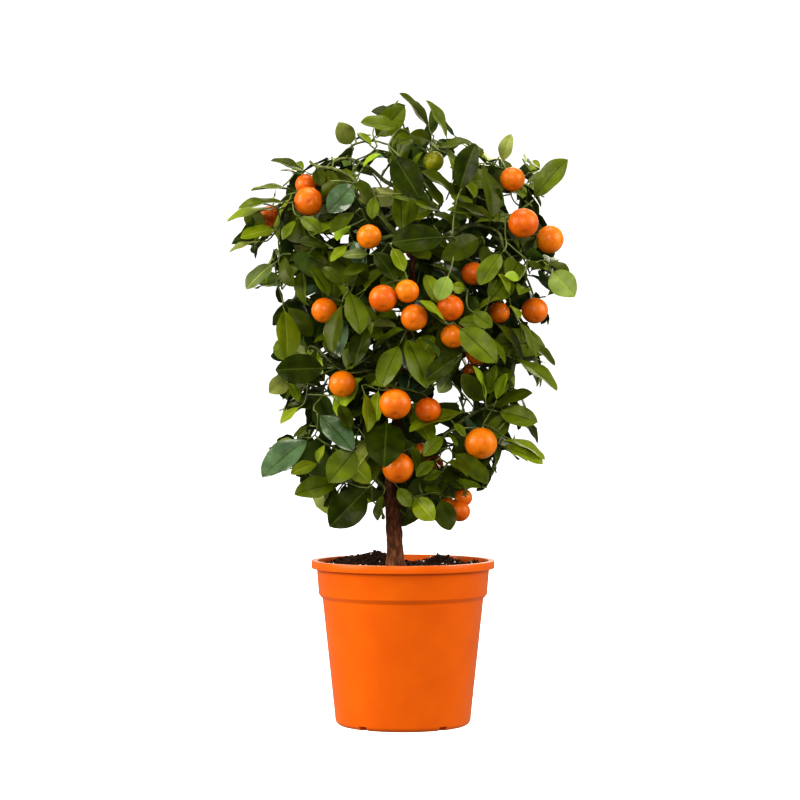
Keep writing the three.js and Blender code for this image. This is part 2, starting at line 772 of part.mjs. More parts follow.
// Which way leaves look at a point: to the front or the back of the fan that
// the crown makes, and a little to the side.
function facingAt(point) {
  const front = point.y < LEAF.backFrom ? -1 : 1;
  return vector([point.x * LEAF.sideLook, front, 0]).normalize();
}

function distanceToNearest(point, others) {
  return others.reduce((nearest, other) => Math.min(nearest, other.distanceTo(point)), Infinity);
}

// A leaf at a place on a shoot, turned round it, and shorter with each attempt.
function turnedLeaf(root, along, turn, atTip, attempt, dice) {
  const pose = atTip ? LEAF_POSE.atTip : LEAF_POSE.onSide;
  const level = Math.abs(along.z) < 0.9 ? UP : new THREE.Vector3(1, 0, 0);
  const sideways = new THREE.Vector3().crossVectors(along, level).normalize();
  sideways.applyAxisAngle(along, turn + attempt * dice.roll(...LEAF_POSE.turnOn));
  const outward = facingAt(root);
  const heading = new THREE.Vector3()
    .addScaledVector(along, pose.along)
    .addScaledVector(sideways, pose.sideways)
    .addScaledVector(outward, dice.roll(...LEAF_POSE.outward))
    .addScaledVector(UP, -dice.roll(...LEAF_POSE.drop))
    .normalize();
  const face = new THREE.Vector3()
    .addScaledVector(outward, dice.roll(...LEAF_POSE.faceOut))
    .addScaledVector(UP, dice.roll(...LEAF_POSE.faceUp))
    .addScaledVector(sideways, dice.roll(...LEAF_POSE.faceAside));
  const shrunk = 1 - (LEAF.shrink * attempt) / LEAF.tries;
  const length = dice.roll(...LEAF.length) * shrunk;
  const width = length * LEAF.widthShare * dice.roll(...LEAF.widthRoll);
  return leafFrom(root, heading, face, length, width);
}

// ------------------------------------------------------------------ shoots

// True where a shoot keeps to its mass's cell, out of the open air, and clear
// of limbs, fruit and, away from its root, of other twigs.
function shootFits(curve, mass, grown, own) {
  const count = Math.ceil(curve.getLength() / APART.shoot);
  for (let i = 0; i <= count; i += 1) {
    const point = curve.getPoint(i / count);
    if (!cellHolds(mass, point, SHOOT.rootRadius + CLEAR.cell)) return false;
    if (inOpenAir(point) || touchesLimb(point, SHOOT.rootRadius + GAP)) return false;
    if (touchesFruit(point, grown.fruits, own, CLEAR.fruit)) return false;
    if (i / count > SHOOT.clearFrom && nearAny(point, grown.wood, CLEAR.wood)) return false;
  }
  return true;
}

// Grows a shoot from the stem to a place and a little past it, or gives up
// after some tries.
function growShoot(mass, grown, place, past, fruit, dice) {
  for (let attempt = 0; attempt < SHOOT.tries; attempt += 1) {
    const back = dice.roll(0, SHOOT.furthestBack);
    const start = grown.stem.getPointAt(nearestShare(grown.stem, place, back));
    const end = place.clone().sub(start).setLength(past).add(place);
    const curve = new THREE.LineCurve3(start, end);
    if (!shootFits(curve, mass, grown, fruit)) continue;
    const shoot = { curve, fruit, steps: 1 };
    grown.shoots.push(shoot);
    grown.wood.push(...woodOf(curve));
    return shoot;
  }
  return null;
}

// Share of the stem nearest to a place, taken back towards the stem's foot.
function nearestShare(stem, end, back) {
  const first = SHOOT.clearOfFoot / stem.getLength();
  let best = { share: first, distance: Infinity };
  for (let share = first; share <= 1; share += 0.05) {
    const distance = stem.getPointAt(share).distanceTo(end);
    if (distance < best.distance) best = { share, distance };
  }
  return Math.max(first, best.share - back);
}

// The place in a mass's space that is farthest from what has grown so far.
function emptiestPlace(mass, heart, grown, dice) {
  const fruits = grown.fruits.map(({ middle }) => middle);
  let best = { room: 0, place: heart };
  for (let i = 0; i < SHOOT.places; i += 1) {
    const reach = [0, 0, 0].map(() => dice.roll(-SHOOT.reach, SHOOT.reach));
    const place = heart.clone().add(vector(reach));
    if (!cellHolds(mass, place, SHOOT.fromBorder) || !crownHolds(place)) continue;
    const room = Math.min(
      distanceToNearest(place, leafMiddles),
      distanceToNearest(place, grown.wood),
      distanceToNearest(place, fruits),
    );
    if (room > best.room) best = { room, place };
  }
  return best.place;
}

// --------------------------------------------------------------- masses

// An orange at a place, if one fits there.
function fruitAt(mass, grown, middle, dice) {
  const radius = dice.roll(...BACK_FRUIT.radius);
  const fits = cellHolds(mass, middle, radius + CLEAR.cell) && !touchesLimb(middle, radius + CLEAR.limb);
  const free = !touchesFruit(middle, grown.fruits, null, radius + CLEAR.fruit);
  return fits && free && !nearAny(middle, grown.wood, radius + CLEAR.wood) ? { middle, radius } : null;
}

// Where a shoot ends inside its orange: up from the middle and towards the
// heart of the mass.
function fruitEnd(fruit, heart) {
  const back = heart.clone().sub(fruit.middle).normalize();
  const stalk = back.multiplyScalar(STALK.back).addScaledVector(UP, STALK.up).normalize();
  return fruit.middle.clone().addScaledVector(stalk, fruit.radius * STALK.sink);
}

// Sets a leaf at its given place: on the wood there, or on a shoot of its own
// that bears few other leaves.
function growShown(mass, grown, given, dice) {
  const wanted = vector(given.base);
  const wood = grown.wood.find((point) => point.distanceTo(wanted) < CLEAR.wood);
  const base = wood ?? wanted;
  const along = vector(given.tip).sub(base);
  const leaf = leafFrom(base, along.clone().normalize(), vector(given.face), along.length(), given.width);
  if (!leafFits(leaf, mass, grown, null, true)) return;
  const shoot = wood ? null : growShoot(mass, grown, base, LEAF.tipSink, null, dice);
  if (shoot) shoot.bearsShown = true;
  if (wood || shoot) addLeaf(grown, leaf);
}

// What a mass starts from: its stem, and the oranges that hang in its cell.
function startMass(mass) {
  const limb = limbs.get(mass.name);
  const start = limb.meetsTrunk ? 0 : limb.enter + GAP / limb.length;
  const stem = new Stretch(limb.curve, start, 1, STEM_MESH.step);
  const hung = [...FRUIT, ...SHADED_FRUIT].map(({ at, radius }) => ({ middle: vector(at), radius }));
  const fruits = hung.filter(({ middle }) => cellHolds(mass, middle, 0));
  return { limb, start, stem, fruits, shoots: [], leaves: [], wood: woodOf(stem) };
}

function growArches(mass, grown) {
  for (const { points } of ARCHES.filter((arch) => arch.mass === mass.name)) {
    const curve = new THREE.CatmullRomCurve3(points.map(vector));
    grown.shoots.push({ curve, steps: ARCH_STEPS });
    grown.wood.push(...woodOf(curve));
  }
}

// Grows a shoot to the emptiest place, with an orange at its end if one fits.
function growMore(mass, grown, mayFruit, dice) {
  const heart = hearts.get(mass.name);
  const place = emptiestPlace(mass, heart, grown, dice);
  const bears = mayFruit && place.y > BACK_FRUIT.behind;
  const fruit = bears ? fruitAt(mass, grown, place, dice) : null;
  const shoot = growShoot(mass, grown, fruit ? fruitEnd(fruit, heart) : place, 0, fruit, dice);
  if (!shoot) return;
  if (fruit) grown.fruits.push(fruit);
  dressShoot(mass, grown, shoot, dice);
}

// Grows a mass: arches, shoots to its oranges, shown leaves, leaves on all of
// these, and then more shoots where there is room.
function growMass(mass, index) {
  const heart = hearts.get(mass.name);
  const diceFor = (kind, i) => new Dice(SEED[kind] * (index + 1) + SEED.next * i);
  const grown = startMass(mass);
  growArches(mass, grown);
  grown.fruits.forEach((fruit, i) => {
    growShoot(mass, grown, fruitEnd(fruit, heart), 0, fruit, diceFor("fruit", i));
  });
  const middleOfShown = ({ base, tip }) => vector(base).lerp(vector(tip), 0.5);
  const shown = SHOWN_LEAVES.filter((given) => cellHolds(mass, middleOfShown(given), 0));
  shown.forEach((given, i) => growShown(mass, grown, given, diceFor("shown", i)));
  grown.shoots.forEach((shoot, i) => dressShoot(mass, grown, shoot, diceFor("leaves", i)));
  const more = Math.max(SHOOT.leastFree, SHOOT.perMass - grown.shoots.length);
  for (let i = 0; i < more; i += 1) growMore(mass, grown, i === 0, diceFor("more", i));
  return grown;
}

// Stem of a mass, cut back where it springs from the trunk.
function stemSolid({ limb, stem, start }) {
  const radiusAt = (share) => mix(limb.radiusAt(start), STEM_MESH.tipRadius, share);
  const solid = solidOf(rodGeometry(stem, radiusAt, STEM_MESH.sides, stem.steps));
  return limb.meetsTrunk ? solid.subtract(trunkSleeve) : solid;
}

// One solid of a mass: stem, shoots, leaves and oranges.
function massSolid(mass, index) {
  const grown = growMass(mass, index);
  const solids = [stemSolid(grown)];
  for (const { curve, steps } of grown.shoots) {
    const radiusAt = (share) => mix(SHOOT.rootRadius, SHOOT.tipRadius, share);
    solids.push(solidOf(rodGeometry(curve, radiusAt, SHOOT.sides, steps)));
  }
  for (const leaf of grown.leaves) solids.push(solidOf(leafGeometry(leaf)));
  for (const { middle, radius } of grown.fruits) {
    const ball = new THREE.SphereGeometry(radius, FRUIT_MESH.around, FRUIT_MESH.down);
    ball.rotateX(Math.PI / 2).scale(1, 1, FRUIT_MESH.flatness).translate(middle.x, middle.y, middle.z);
    solids.push(solidOf(ball));
  }
  return fuse(solids);
}

// --------------------------------------------------------------- assembly

const trunk = flatFoot(trunkSolid(0));
const trunkSleeve = trunkSolid(GAP);

const tree = new THREE.Group();
tree.add(meshOf("pot", buildPot(), POT_ORANGE));
tree.add(meshOf("soil", buildSoil(), SOIL_BROWN));
tree.add(meshOf("trunk", trunk, BARK_BROWN));
for (const mass of MASSES) {
  const limb = limbs.get(mass.name);
  if (limb.meetsTrunk) continue;
  tree.add(meshOf(`bough_${mass.name}`, fuse([boughSolid(limb).subtract(trunkSleeve)]), BOUGH_OLIVE));
}
MASSES.forEach((mass, index) => {
  tree.add(meshOf(`foliage_${mass.name}`, massSolid(mass, index), LEAF_GREEN));
});

export default tree;
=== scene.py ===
# %% [markdown]
# # Calamondin orange tree in its nursery pot
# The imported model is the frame: a pot, its soil, a trunk, boughs and masses of
# foliage, all plain solids. Each of them is replaced here by the finished
# thing. Sizes below are in millimetres, and become metres when a mesh is made.

# %% Load the frame
import math

import bmesh
import bpy
import numpy as np
from mathutils import Matrix, Vector, noise


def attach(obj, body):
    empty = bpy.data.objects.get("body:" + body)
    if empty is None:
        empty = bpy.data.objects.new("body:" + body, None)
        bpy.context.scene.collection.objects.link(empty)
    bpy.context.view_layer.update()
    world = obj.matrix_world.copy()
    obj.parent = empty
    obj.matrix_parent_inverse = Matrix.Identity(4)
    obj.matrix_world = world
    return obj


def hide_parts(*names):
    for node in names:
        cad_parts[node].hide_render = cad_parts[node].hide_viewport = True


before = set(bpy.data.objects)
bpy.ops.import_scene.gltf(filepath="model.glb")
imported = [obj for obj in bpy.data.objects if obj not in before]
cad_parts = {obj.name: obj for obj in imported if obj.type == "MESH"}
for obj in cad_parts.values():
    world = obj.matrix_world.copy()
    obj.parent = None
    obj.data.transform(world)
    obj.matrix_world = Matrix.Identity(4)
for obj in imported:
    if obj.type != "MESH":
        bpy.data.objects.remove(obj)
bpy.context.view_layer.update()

MM = 0.001


def add_object(name, data):
    """Adds an object with this data to the scene."""
    thing = bpy.data.objects.new(name, data)
    bpy.context.scene.collection.objects.link(thing)
    return thing


print("frame:", len(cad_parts), "nodes")

# %% [markdown]
# The camera stands level in front of the plant, far enough away that the
# perspective is weak. It comes first, because the leaves listed one by one are
# given by the column and row where this camera sees them.

# %% Camera
VIEW = {"x": -3.1, "distance": 2490.0, "height": 336.0, "lens": 108.0, "sensor": 36.0, "pixels": 800}
FOCAL_PIXELS = VIEW["lens"] / VIEW["sensor"] * VIEW["pixels"]

camera = add_object("camera", bpy.data.cameras.new("camera"))
camera.data.lens = VIEW["lens"]
camera.data.sensor_width = VIEW["sensor"]
camera.location = Vector((VIEW["x"], -VIEW["distance"], VIEW["height"])) * MM
camera.rotation_euler = (math.radians(90), 0, 0)
bpy.context.scene.camera = camera


def at_view(column, row, y):
    """The point that the camera sees at a column and row, at a depth y."""
    scale = (VIEW["distance"] + y) * VIEW["sensor"] / (VIEW["pixels"] * VIEW["lens"])
    middle = VIEW["pixels"] / 2
    return np.array([VIEW["x"] + (column - middle) * scale, y, VIEW["height"] - (row - middle) * scale])


def sighted(points):
    """Where the camera sees points in the plane of the trunk: x and z."""
    share = VIEW["distance"] / (VIEW["distance"] + points[:, 1])
    x = VIEW["x"] + (points[:, 0] - VIEW["x"]) * share
    z = VIEW["height"] + (points[:, 2] - VIEW["height"]) * share
    return np.stack([x, z], axis=1)


print("one column at the trunk is", round(at_view(1, 0, 0)[0] - at_view(0, 0, 0)[0], 3), "mm")

# %% [markdown]
# Colours are written as sRGB hex values, the way a paint chart gives them, and
# one function turns them into the linear values that the shaders count in.
# Another small function adds a node with its settings and its links.


# %% Colours and nodes
def linear(hex_colour):
    """Linear RGBA of an sRGB hex colour."""
    shares = [int(hex_colour[i : i + 2], 16) / 255 for i in (1, 3, 5)]
    return [c / 12.92 if c <= 0.04045 else ((c + 0.055) / 1.055) ** 2.4 for c in shares] + [1.0]


def add_node(material, kind, inputs, **settings):
    """Adds a node. An input that is another node's output is linked, and any other is set."""
    node = material.node_tree.nodes.new(kind)
    for name, value in settings.items():
        setattr(node, name, value)
    for name, value in inputs.items():
        if isinstance(value, bpy.types.NodeSocket):
            material.node_tree.links.new(value, node.inputs[name])
        else:
            node.inputs[name].default_value = value
    return node


def new_material(name, roughness, **others):
    """A material and its surface shader. Other inputs of the shader are named by keyword."""
    material = bpy.data.materials.new(name)
    material.use_nodes = True
    shader = material.node_tree.nodes["Principled BSDF"]
    shader.inputs["Roughness"].default_value = roughness
    for socket, value in others.items():
        shader.inputs[socket.replace("_", " ")].default_value = value
    return material, shader


def cloud_of(material, size, detail=3.0, stretch=(1, 1, 1)):
    """Soft noise whose patches are a size in millimetres across."""
    place = add_node(material, "ShaderNodeTexCoord", {})
    turn = add_node(material, "ShaderNodeMapping", {"Vector": place.outputs["Object"], "Scale": stretch})
    scale = 1 / (size * MM)
    settings = {"Vector": turn.outputs["Vector"], "Scale": scale, "Detail": detail}
    return add_node(material, "ShaderNodeTexNoise", settings).outputs["Fac"]


def colour_between(material, shader, share, stops):
    """Colours a surface by a share from 0 to 1, over stops of share and hex colour."""
    ramp = add_node(material, "ShaderNodeValToRGB", {"Fac": share})
    elements = ramp.color_ramp.elements
    while len(elements) < len(stops):
        elements.new(0.5)
    for element, (at, hex_colour) in zip(elements, stops):
        element.position = at
        element.color = linear(hex_colour)
    material.node_tree.links.new(ramp.outputs["Color"], shader.inputs["Base Color"])


def raise_by(material, shader, height, depth):
    """Gives a surface relief: a height from 0 to 1 stands for a depth in millimetres."""
    bump = add_node(material, "ShaderNodeBump", {"Height": height, "Distance": depth * MM})
    material.node_tree.links.new(bump.outputs["Normal"], shader.inputs["Normal"])


print("colours and nodes are ready")

# %% [markdown]
# A piece is one mesh that rides on the plant's only body, takes its finishes
# and stands for some of the frame's nodes.


# %% Making a piece
def new_piece(name, mesh, materials, nodes):
    """A piece that shows in place of the frame's nodes."""
    piece = add_object(name, mesh)
    for material in materials:
        mesh.materials.append(material)
    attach(piece, "root")
    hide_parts(*nodes)
    print(name, "has", sum(len(p.vertices) - 2 for p in mesh.polygons), "triangles")
    return piece


def mesh_from(shape, name):
    """The mesh of a finished bmesh, in metres."""
    bmesh.ops.scale(shape, vec=(MM, MM, MM), verts=shape.verts)
    mesh = bpy.data.meshes.new(name)
    shape.to_mesh(mesh)
    shape.free()
    mesh.shade_smooth()
    return mesh


def joined_mesh(name, parts):
    """One mesh of many parts: each has its points, its faces and each face's material."""
    points = np.vstack([part[0] for part in parts])
    faces = []
    start = 0
    for part_points, part_faces, _ in parts:
        faces.extend([start + corner for corner in face] for face in part_faces)
        start += len(part_points)
    mesh = bpy.data.meshes.new(name)
    mesh.from_pydata((points * MM).tolist(), [], faces)
    mesh.polygons.foreach_set("material_index", np.concatenate([part[2] for part in parts]))
    mesh.shade_smooth()
    mesh.update()
    return mesh


def whole(points, faces, material):
    """A part of a joined mesh that is all of one material."""
    return points, faces, np.full(len(faces), material)


def template_of(shape):
    """Points and faces of a bmesh, to be repeated by arrays."""
    shape.verts.index_update()
    points = np.array([vert.co[:] for vert in shape.verts])
    faces = [[vert.index for vert in face.verts] for face in shape.faces]
    shape.free()
    return points, faces


def unit(vectors):
    """Vectors of the same direction, one long."""
    return vectors / np.maximum(np.linalg.norm(vectors, axis=-1, keepdims=True), 1e-9)


dice = np.random.default_rng(20)
print("pieces can be made")

# %% [markdown]
# The pot is a moulded plastic nursery pot: a rolled rim, a straight collar, a
# step under it and a tapering body, with drain notches in the foot. A lathe
# profile gives all of it in one spin. Its edges are rounded first, and then the
# notches are cut with a Boolean, as they are in the mould.

# %% Pot
POT = {
    "height": 170,
    "wall": 1.5,
    "floor": 2.2,
    "lip": {"bottom": 162, "radius": 95, "inside": 88.5},
    "collar": {"top_radius": 89.5, "bottom": 135, "bottom_radius": 87.3},
    "body": {"top": 130.6, "top_radius": 83.5, "bottom_radius": 70.2, "corner": 6},
    "foot": {"disc": 24, "ring_inside": 50, "rise": 4, "slope": 3},
    "drain": {"count": 5, "width": 9.4, "height": 4.5, "depth": 18},
    "segments": 120,
}


def pot_profile():
    """Half of the pot's section as (radius, height), from the middle of its floor out and back."""
    lip, collar, body, foot = POT["lip"], POT["collar"], POT["body"], POT["foot"]
    wall, corner = POT["wall"], body["corner"]
    turns = np.radians([0, 22.5, 45, 67.5, 90])
    centre = body["bottom_radius"] - corner
    bend = [(centre + corner * math.sin(t), corner - corner * math.cos(t)) for t in turns]
    outside = [
        (0, foot["rise"]),
        (foot["ring_inside"] - foot["slope"], foot["rise"]),
        (foot["ring_inside"], 0),
        *bend,
        (body["top_radius"], body["top"]),
        (collar["bottom_radius"], collar["bottom"]),
        (collar["top_radius"], lip["bottom"]),
        (lip["radius"], lip["bottom"]),
        (lip["radius"], POT["height"]),
    ]
    inside = [
        (lip["inside"], POT["height"]),
        (collar["top_radius"] - wall, lip["bottom"]),
        (collar["bottom_radius"] - wall, collar["bottom"]),
        (body["top_radius"] - wall, body["top"]),
        (body["bottom_radius"] - wall, corner + POT["floor"]),
        (body["bottom_radius"] - wall - corner, foot["rise"] + POT["floor"]),
        (0, foot["rise"] + POT["floor"]),
    ]
    return outside + inside


def spun(profile, segments):
    """A closed shape turned from a profile whose ends are on the axis."""
    shape = bmesh.new()
    corners = [shape.verts.new((radius, 0, z)) for radius, z in profile]
    edges = [shape.edges.new(pair) for pair in zip(corners, corners[1:])]
    bmesh.ops.spin(
        shape,
        geom=corners + edges,
        cent=(0, 0, 0),
        axis=(0, 0, 1),
        angle=math.tau,
        steps=segments,
        use_merge=True,
    )
    bmesh.ops.remove_doubles(shape, verts=shape.verts, dist=1e-4)
    bmesh.ops.recalc_face_normals(shape, faces=shape.faces)
    return shape


def round_edges(shape, sharper_than, width, segments):
    """Rounds the edges where two faces meet at more than an angle in degrees."""
    limit = math.radians(sharper_than)
    edges = [e for e in shape.edges if len(e.link_faces) == 2 and e.calc_face_angle() > limit]
    bmesh.ops.bevel(
        shape, geom=edges, offset=width, affect="EDGES", segments=segments, profile=0.5, material=-1
    )


def drain_cutters():
    """The tools that cut the notches, one for each drain, round the foot."""
    drain = POT["drain"]
    cutters = bmesh.new()
    for i in range(drain["count"]):
        angle = (i + 0.5) / drain["count"] * math.tau - math.pi / 2
        block = bmesh.ops.create_cube(cutters, size=1)["verts"]
        bmesh.ops.scale(cutters, vec=(drain["depth"], drain["width"], 2 * drain["height"]), verts=block)
        bmesh.ops.translate(cutters, vec=(POT["body"]["bottom_radius"], 0, 0), verts=block)
        bmesh.ops.rotate(cutters, cent=(0, 0, 0), matrix=Matrix.Rotation(angle, 3, "Z"), verts=block)
    return cutters


def cut_away(mesh, cutter_mesh):
    """The mesh with the cutter's shape taken out of it."""
    body = add_object("body", mesh)
    cutter = add_object("cutter", cutter_mesh)
    cut = body.modifiers.new("cut", "BOOLEAN")
    cut.object = cutter
    cut.operation = "DIFFERENCE"
    finished = bpy.data.meshes.new_from_object(body.evaluated_get(bpy.context.evaluated_depsgraph_get()))
    for thing in (body, cutter):
        bpy.data.objects.remove(thing)
    return finished


pot_shape = spun(pot_profile(), POT["segments"])
round_edges(pot_shape, sharper_than=20, width=0.6, segments=2)
pot_mesh = cut_away(mesh_from(pot_shape, "pot"), mesh_from(drain_cutters(), "drains"))
pot_mesh.set_sharp_from_angle(angle=math.radians(40))
print("the pot is", POT["height"], "mm high and", 2 * POT["lip"]["radius"], "mm across its rim")

# %% [markdown]
# The pot is moulded polypropylene. It has a satin skin, and a little light goes
# into it. The mould leaves the colour almost even, so its patches are wide and
# weak, and a fine grain breaks up its highlights.

# %% Satin moulded polypropylene
polypropylene, shader = new_material(
    "satin moulded polypropylene",
    0.36,
    Specular_IOR_Level=0.2,
    Subsurface_Weight=0.06,
    Subsurface_Scale=0.002,
)
shader.inputs["Subsurface Radius"].default_value = (1.0, 0.35, 0.1)
colour_between(
    polypropylene,
    shader,
    cloud_of(polypropylene, size=35),
    [(0.3, "#CC5A00"), (0.55, "#D05E00"), (0.75, "#D46200")],
)
raise_by(polypropylene, shader, cloud_of(polypropylene, size=1.2, detail=4), depth=0.05)
new_piece("nursery_pot", pot_mesh, [polypropylene], ["pot"])

# %% [markdown]
# Potting soil is a crumbly bed. A spun disc gives the bed and its mounds,
# noise gives it lumps, and hundreds of crumbs and white perlite grains are
# strewn over it as one joined mesh, because single grains catch the light.

# %% Soil
# Mounds are places across and back, heights and spreads. The bed is level at the radius level_at,
# and its rises fade out over the width levelling.
SOIL = {
    "bottom": 7,
    "level": 163,
    "mounds": [(-25, 50, 12, 20), (-62, 42, 7, 26), (40, 56, 9, 16), (74, 18, 4, 22)],
    "gap": 0.3,
    "lump": 1.6,
    "lump_size": 7,
    "noise_slice": 3,
    "level_at": 90,
    "levelling": 12,
    "foot": {"gap": 2, "rise": 5, "inset": 6},
    "rings": 34,
    "segments": 140,
}
CRUMBS = {"count": 900, "size": (0.8, 2.6), "reach": 84, "lift": 0.25}
PERLITE = {"count": 110, "size": (0.8, 1.9), "reach": 83, "lift": 0.3}
GRAIN = {"squash": (0.7, 1.4), "roughness": 0.12}


def inside_radius(z):
    """Radius of the pot's inner wall at a height."""
    lip, collar, body, wall = POT["lip"], POT["collar"], POT["body"], POT["wall"]
    heights = [body["corner"], body["top"], collar["bottom"], lip["bottom"], POT["height"]]
    outer = [body["bottom_radius"], body["top_radius"], collar["bottom_radius"], collar["top_radius"]]
    return float(np.interp(z, heights, [radius - wall for radius in outer] + [lip["inside"]]))


def soil_height(x, y):
    """Height of the bed at a place, with its mounds and lumps."""
    rise = SOIL["lump"] * noise.fractal(Vector((x, y, SOIL["noise_slice"])) / SOIL["lump_size"], 1.0, 2.0, 4)
    for mound_x, mound_y, height, spread in SOIL["mounds"]:
        rise += height * math.exp(-((x - mound_x) ** 2 + (y - mound_y) ** 2) / spread**2)
    return SOIL["level"] + rise * min(1.0, (SOIL["level_at"] - math.hypot(x, y)) / SOIL["levelling"])


def soil_shape():
    """The soil that fills the pot, with an uneven top."""
    edge = inside_radius(SOIL["level"]) - SOIL["gap"]
    top = [(edge * i / SOIL["rings"], SOIL["level"]) for i in range(SOIL["rings"] + 1)]
    body, foot = POT["body"], SOIL["foot"]
    foot_top = SOIL["bottom"] + foot["rise"]
    foot_edge = inside_radius(foot_top) - foot["gap"]
    side = [
        (POT["collar"]["bottom_radius"] - POT["wall"] - SOIL["gap"], POT["collar"]["bottom"]),
        (body["top_radius"] - POT["wall"] - SOIL["gap"], body["top"]),
        (foot_edge, foot_top),
        (foot_edge - foot["inset"], SOIL["bottom"]),
        (0, SOIL["bottom"]),
    ]
    shape = spun(top + side, SOIL["segments"])
    for vert in shape.verts:
        if vert.co.z > SOIL["level"] - 0.1:
            vert.co.z = soil_height(vert.co.x, vert.co.y)
    return shape


def lump_template():
    """A small rough grain, about one long and wide."""
    shape = bmesh.new()
    bmesh.ops.create_icosphere(shape, subdivisions=1, radius=0.5)
    return template_of(shape)


def strewn(spec, material):
    """Grains of rolled sizes, turns and squashed forms that lie on the bed."""
    points, faces = lump_template()
    parts = []
    for _ in range(spec["count"]):
        away = spec["reach"] * math.sqrt(dice.uniform(0, 1))
        angle = dice.uniform(0, math.tau)
        x, y = away * math.cos(angle), away * math.sin(angle)
        size = dice.uniform(*spec["size"])
        form = points * dice.uniform(*GRAIN["squash"], 3) * size
        form = form + dice.uniform(-GRAIN["roughness"], GRAIN["roughness"], form.shape) * size
        place = np.array([x, y, soil_height(x, y) + spec["lift"] * size])
        parts.append(whole(form + place, faces, material))
    return parts


soil_parts = [whole(*template_of(soil_shape()), 0)]
soil_parts += strewn(CRUMBS, 1)
soil_parts += strewn(PERLITE, 2)
soil_mesh = joined_mesh("soil", soil_parts)
print("soil with", CRUMBS["count"], "crumbs and", PERLITE["count"], "grains of perlite")

# %% [markdown]
# Moist peat is nearly black in its hollows and brown where it has dried.
# Perlite is expanded volcanic glass, chalk white and dull.

# %% Moist peat and perlite
peat, shader = new_material("moist peat", 0.92, Specular_IOR_Level=0.1)
colour_between(
    peat,
    shader,
    cloud_of(peat, size=3.5, detail=6),
    [(0.32, "#0E0500"), (0.5, "#1E0D03"), (0.62, "#301808"), (0.75, "#482C16")],
)
raise_by(peat, shader, cloud_of(peat, size=1.6, detail=6), depth=1.2)

dry_crumb, shader = new_material("drying peat crumb", 0.9, Specular_IOR_Level=0.1)
colour_between(
    dry_crumb, shader, cloud_of(dry_crumb, size=9), [(0.35, "#170A02"), (0.55, "#2C1606"), (0.7, "#4A2E16")]
)

perlite, shader = new_material("expanded perlite", 0.85)
colour_between(perlite, shader, cloud_of(perlite, size=1.5), [(0.3, "#CFC8BC"), (0.6, "#F1EDE4")])
raise_by(perlite, shader, cloud_of(perlite, size=0.6), depth=0.3)
new_piece("potting_soil", soil_mesh, [peat, dry_crumb, perlite], ["soil"])

# %% [markdown]
# The trunk, the boughs and the twigs are all tapering tubes along a smooth
# line. One capped tube is made by an operator for each number of rings, and
# arrays bend it along its line. The frame's own limbs follow the same
# centripetal Catmull-Rom curves, so the finished ones lie where they do.


# %% Lines and tubes
POINTS_PER_SPAN = 24


def span_points(corners, spans):
    """Points of a centripetal Catmull-Rom curve between the two middle corners."""
    before, start, end, after = corners
    first, span, last = spans
    leave = end - start + span * ((start - before) / first - (end - before) / (first + span))
    arrive = end - start + span * ((after - end) / last - (after - start) / (span + last))
    t = np.linspace(0, 1, POINTS_PER_SPAN + 1)[1:, None]
    from_ends = (2 * t**3 - 3 * t**2 + 1) * start + (3 * t**2 - 2 * t**3) * end
    return from_ends + (t**3 - 2 * t**2 + t) * leave + (t**3 - t**2) * arrive


def distances_along(line):
    """How far along a line each of its points is."""
    return np.append(0, np.cumsum(np.linalg.norm(np.diff(line, axis=0), axis=1)))


def points_at(stops, measure, line):
    """Points of a line where a measure that grows along it reaches the stops."""
    return np.stack([np.interp(stops, measure, line[:, axis]) for axis in range(3)], axis=-1)


def even_points(line, step):
    """Points a step apart along a line."""
    along = distances_along(line)
    stops = np.linspace(0, along[-1], max(2, round(along[-1] / step) + 1))
    return points_at(stops, along, line)


def smooth_line(points, step):
    """Points a step apart on a smooth curve through the given points."""
    points = np.array(points, dtype=float)
    before, after = 2 * points[0] - points[1], 2 * points[-1] - points[-2]
    through = np.vstack([before, points, after])
    spans = np.sqrt(np.linalg.norm(np.diff(through, axis=0), axis=1))
    fine = [points[:1]]
    for i in range(1, len(through) - 2):
        fine.append(span_points(through[i - 1 : i + 3], spans[i - 1 : i + 2]))
    return even_points(np.vstack(fine), step)


def frames_along(line):
    """Two directions square to a line at each of its points, which don't twist along it."""
    tangents = unit(np.gradient(line, axis=0))
    side = np.array([0.0, 1.0, 0.0]) if abs(tangents[0][1]) < 0.9 else np.array([1.0, 0.0, 0.0])
    sides = []
    for tangent in tangents:
        side = unit(side - tangent * (side @ tangent))
        sides.append(side)
    return np.array(sides), np.cross(tangents, sides)


TUBE_SIDES = {"trunk": 40, "stub": 24, "limb": 14, "shoot": 7}
tube_templates = {}


def tube_template(sides, rings):
    """A capped tube, one long and one in radius, with so many rings of corners."""
    if (sides, rings) not in tube_templates:
        tube = bmesh.new()
        bmesh.ops.create_cone(tube, cap_ends=True, segments=sides, radius1=1, radius2=1, depth=1)
        lengthwise = [e for e in tube.edges if abs(e.verts[0].co.z - e.verts[1].co.z) > 0.5]
        if rings > 2:
            bmesh.ops.subdivide_edges(tube, edges=lengthwise, cuts=rings - 2)
        tube_templates[sides, rings] = template_of(tube)
    return tube_templates[sides, rings]


def tube_along(line, radii, sides, relief=None):
    """Points and faces of a tube along a line. Relief gives the share that the bark adds at a point."""
    points, faces = tube_template(sides, len(line))
    ring = np.rint((points[:, 2] + 0.5) * (len(line) - 1)).astype(int)
    side, other = frames_along(line)
    out = points[:, :1] * side[ring] + points[:, 1:2] * other[ring]
    reach = np.broadcast_to(radii, len(line))[ring][:, None]
    if relief:
        bare = line[ring] + out * reach
        reach = reach * (1 + np.array([relief(point) for point in bare]))[:, None]
    return line[ring] + out * reach, faces


print("tubes can be bent")

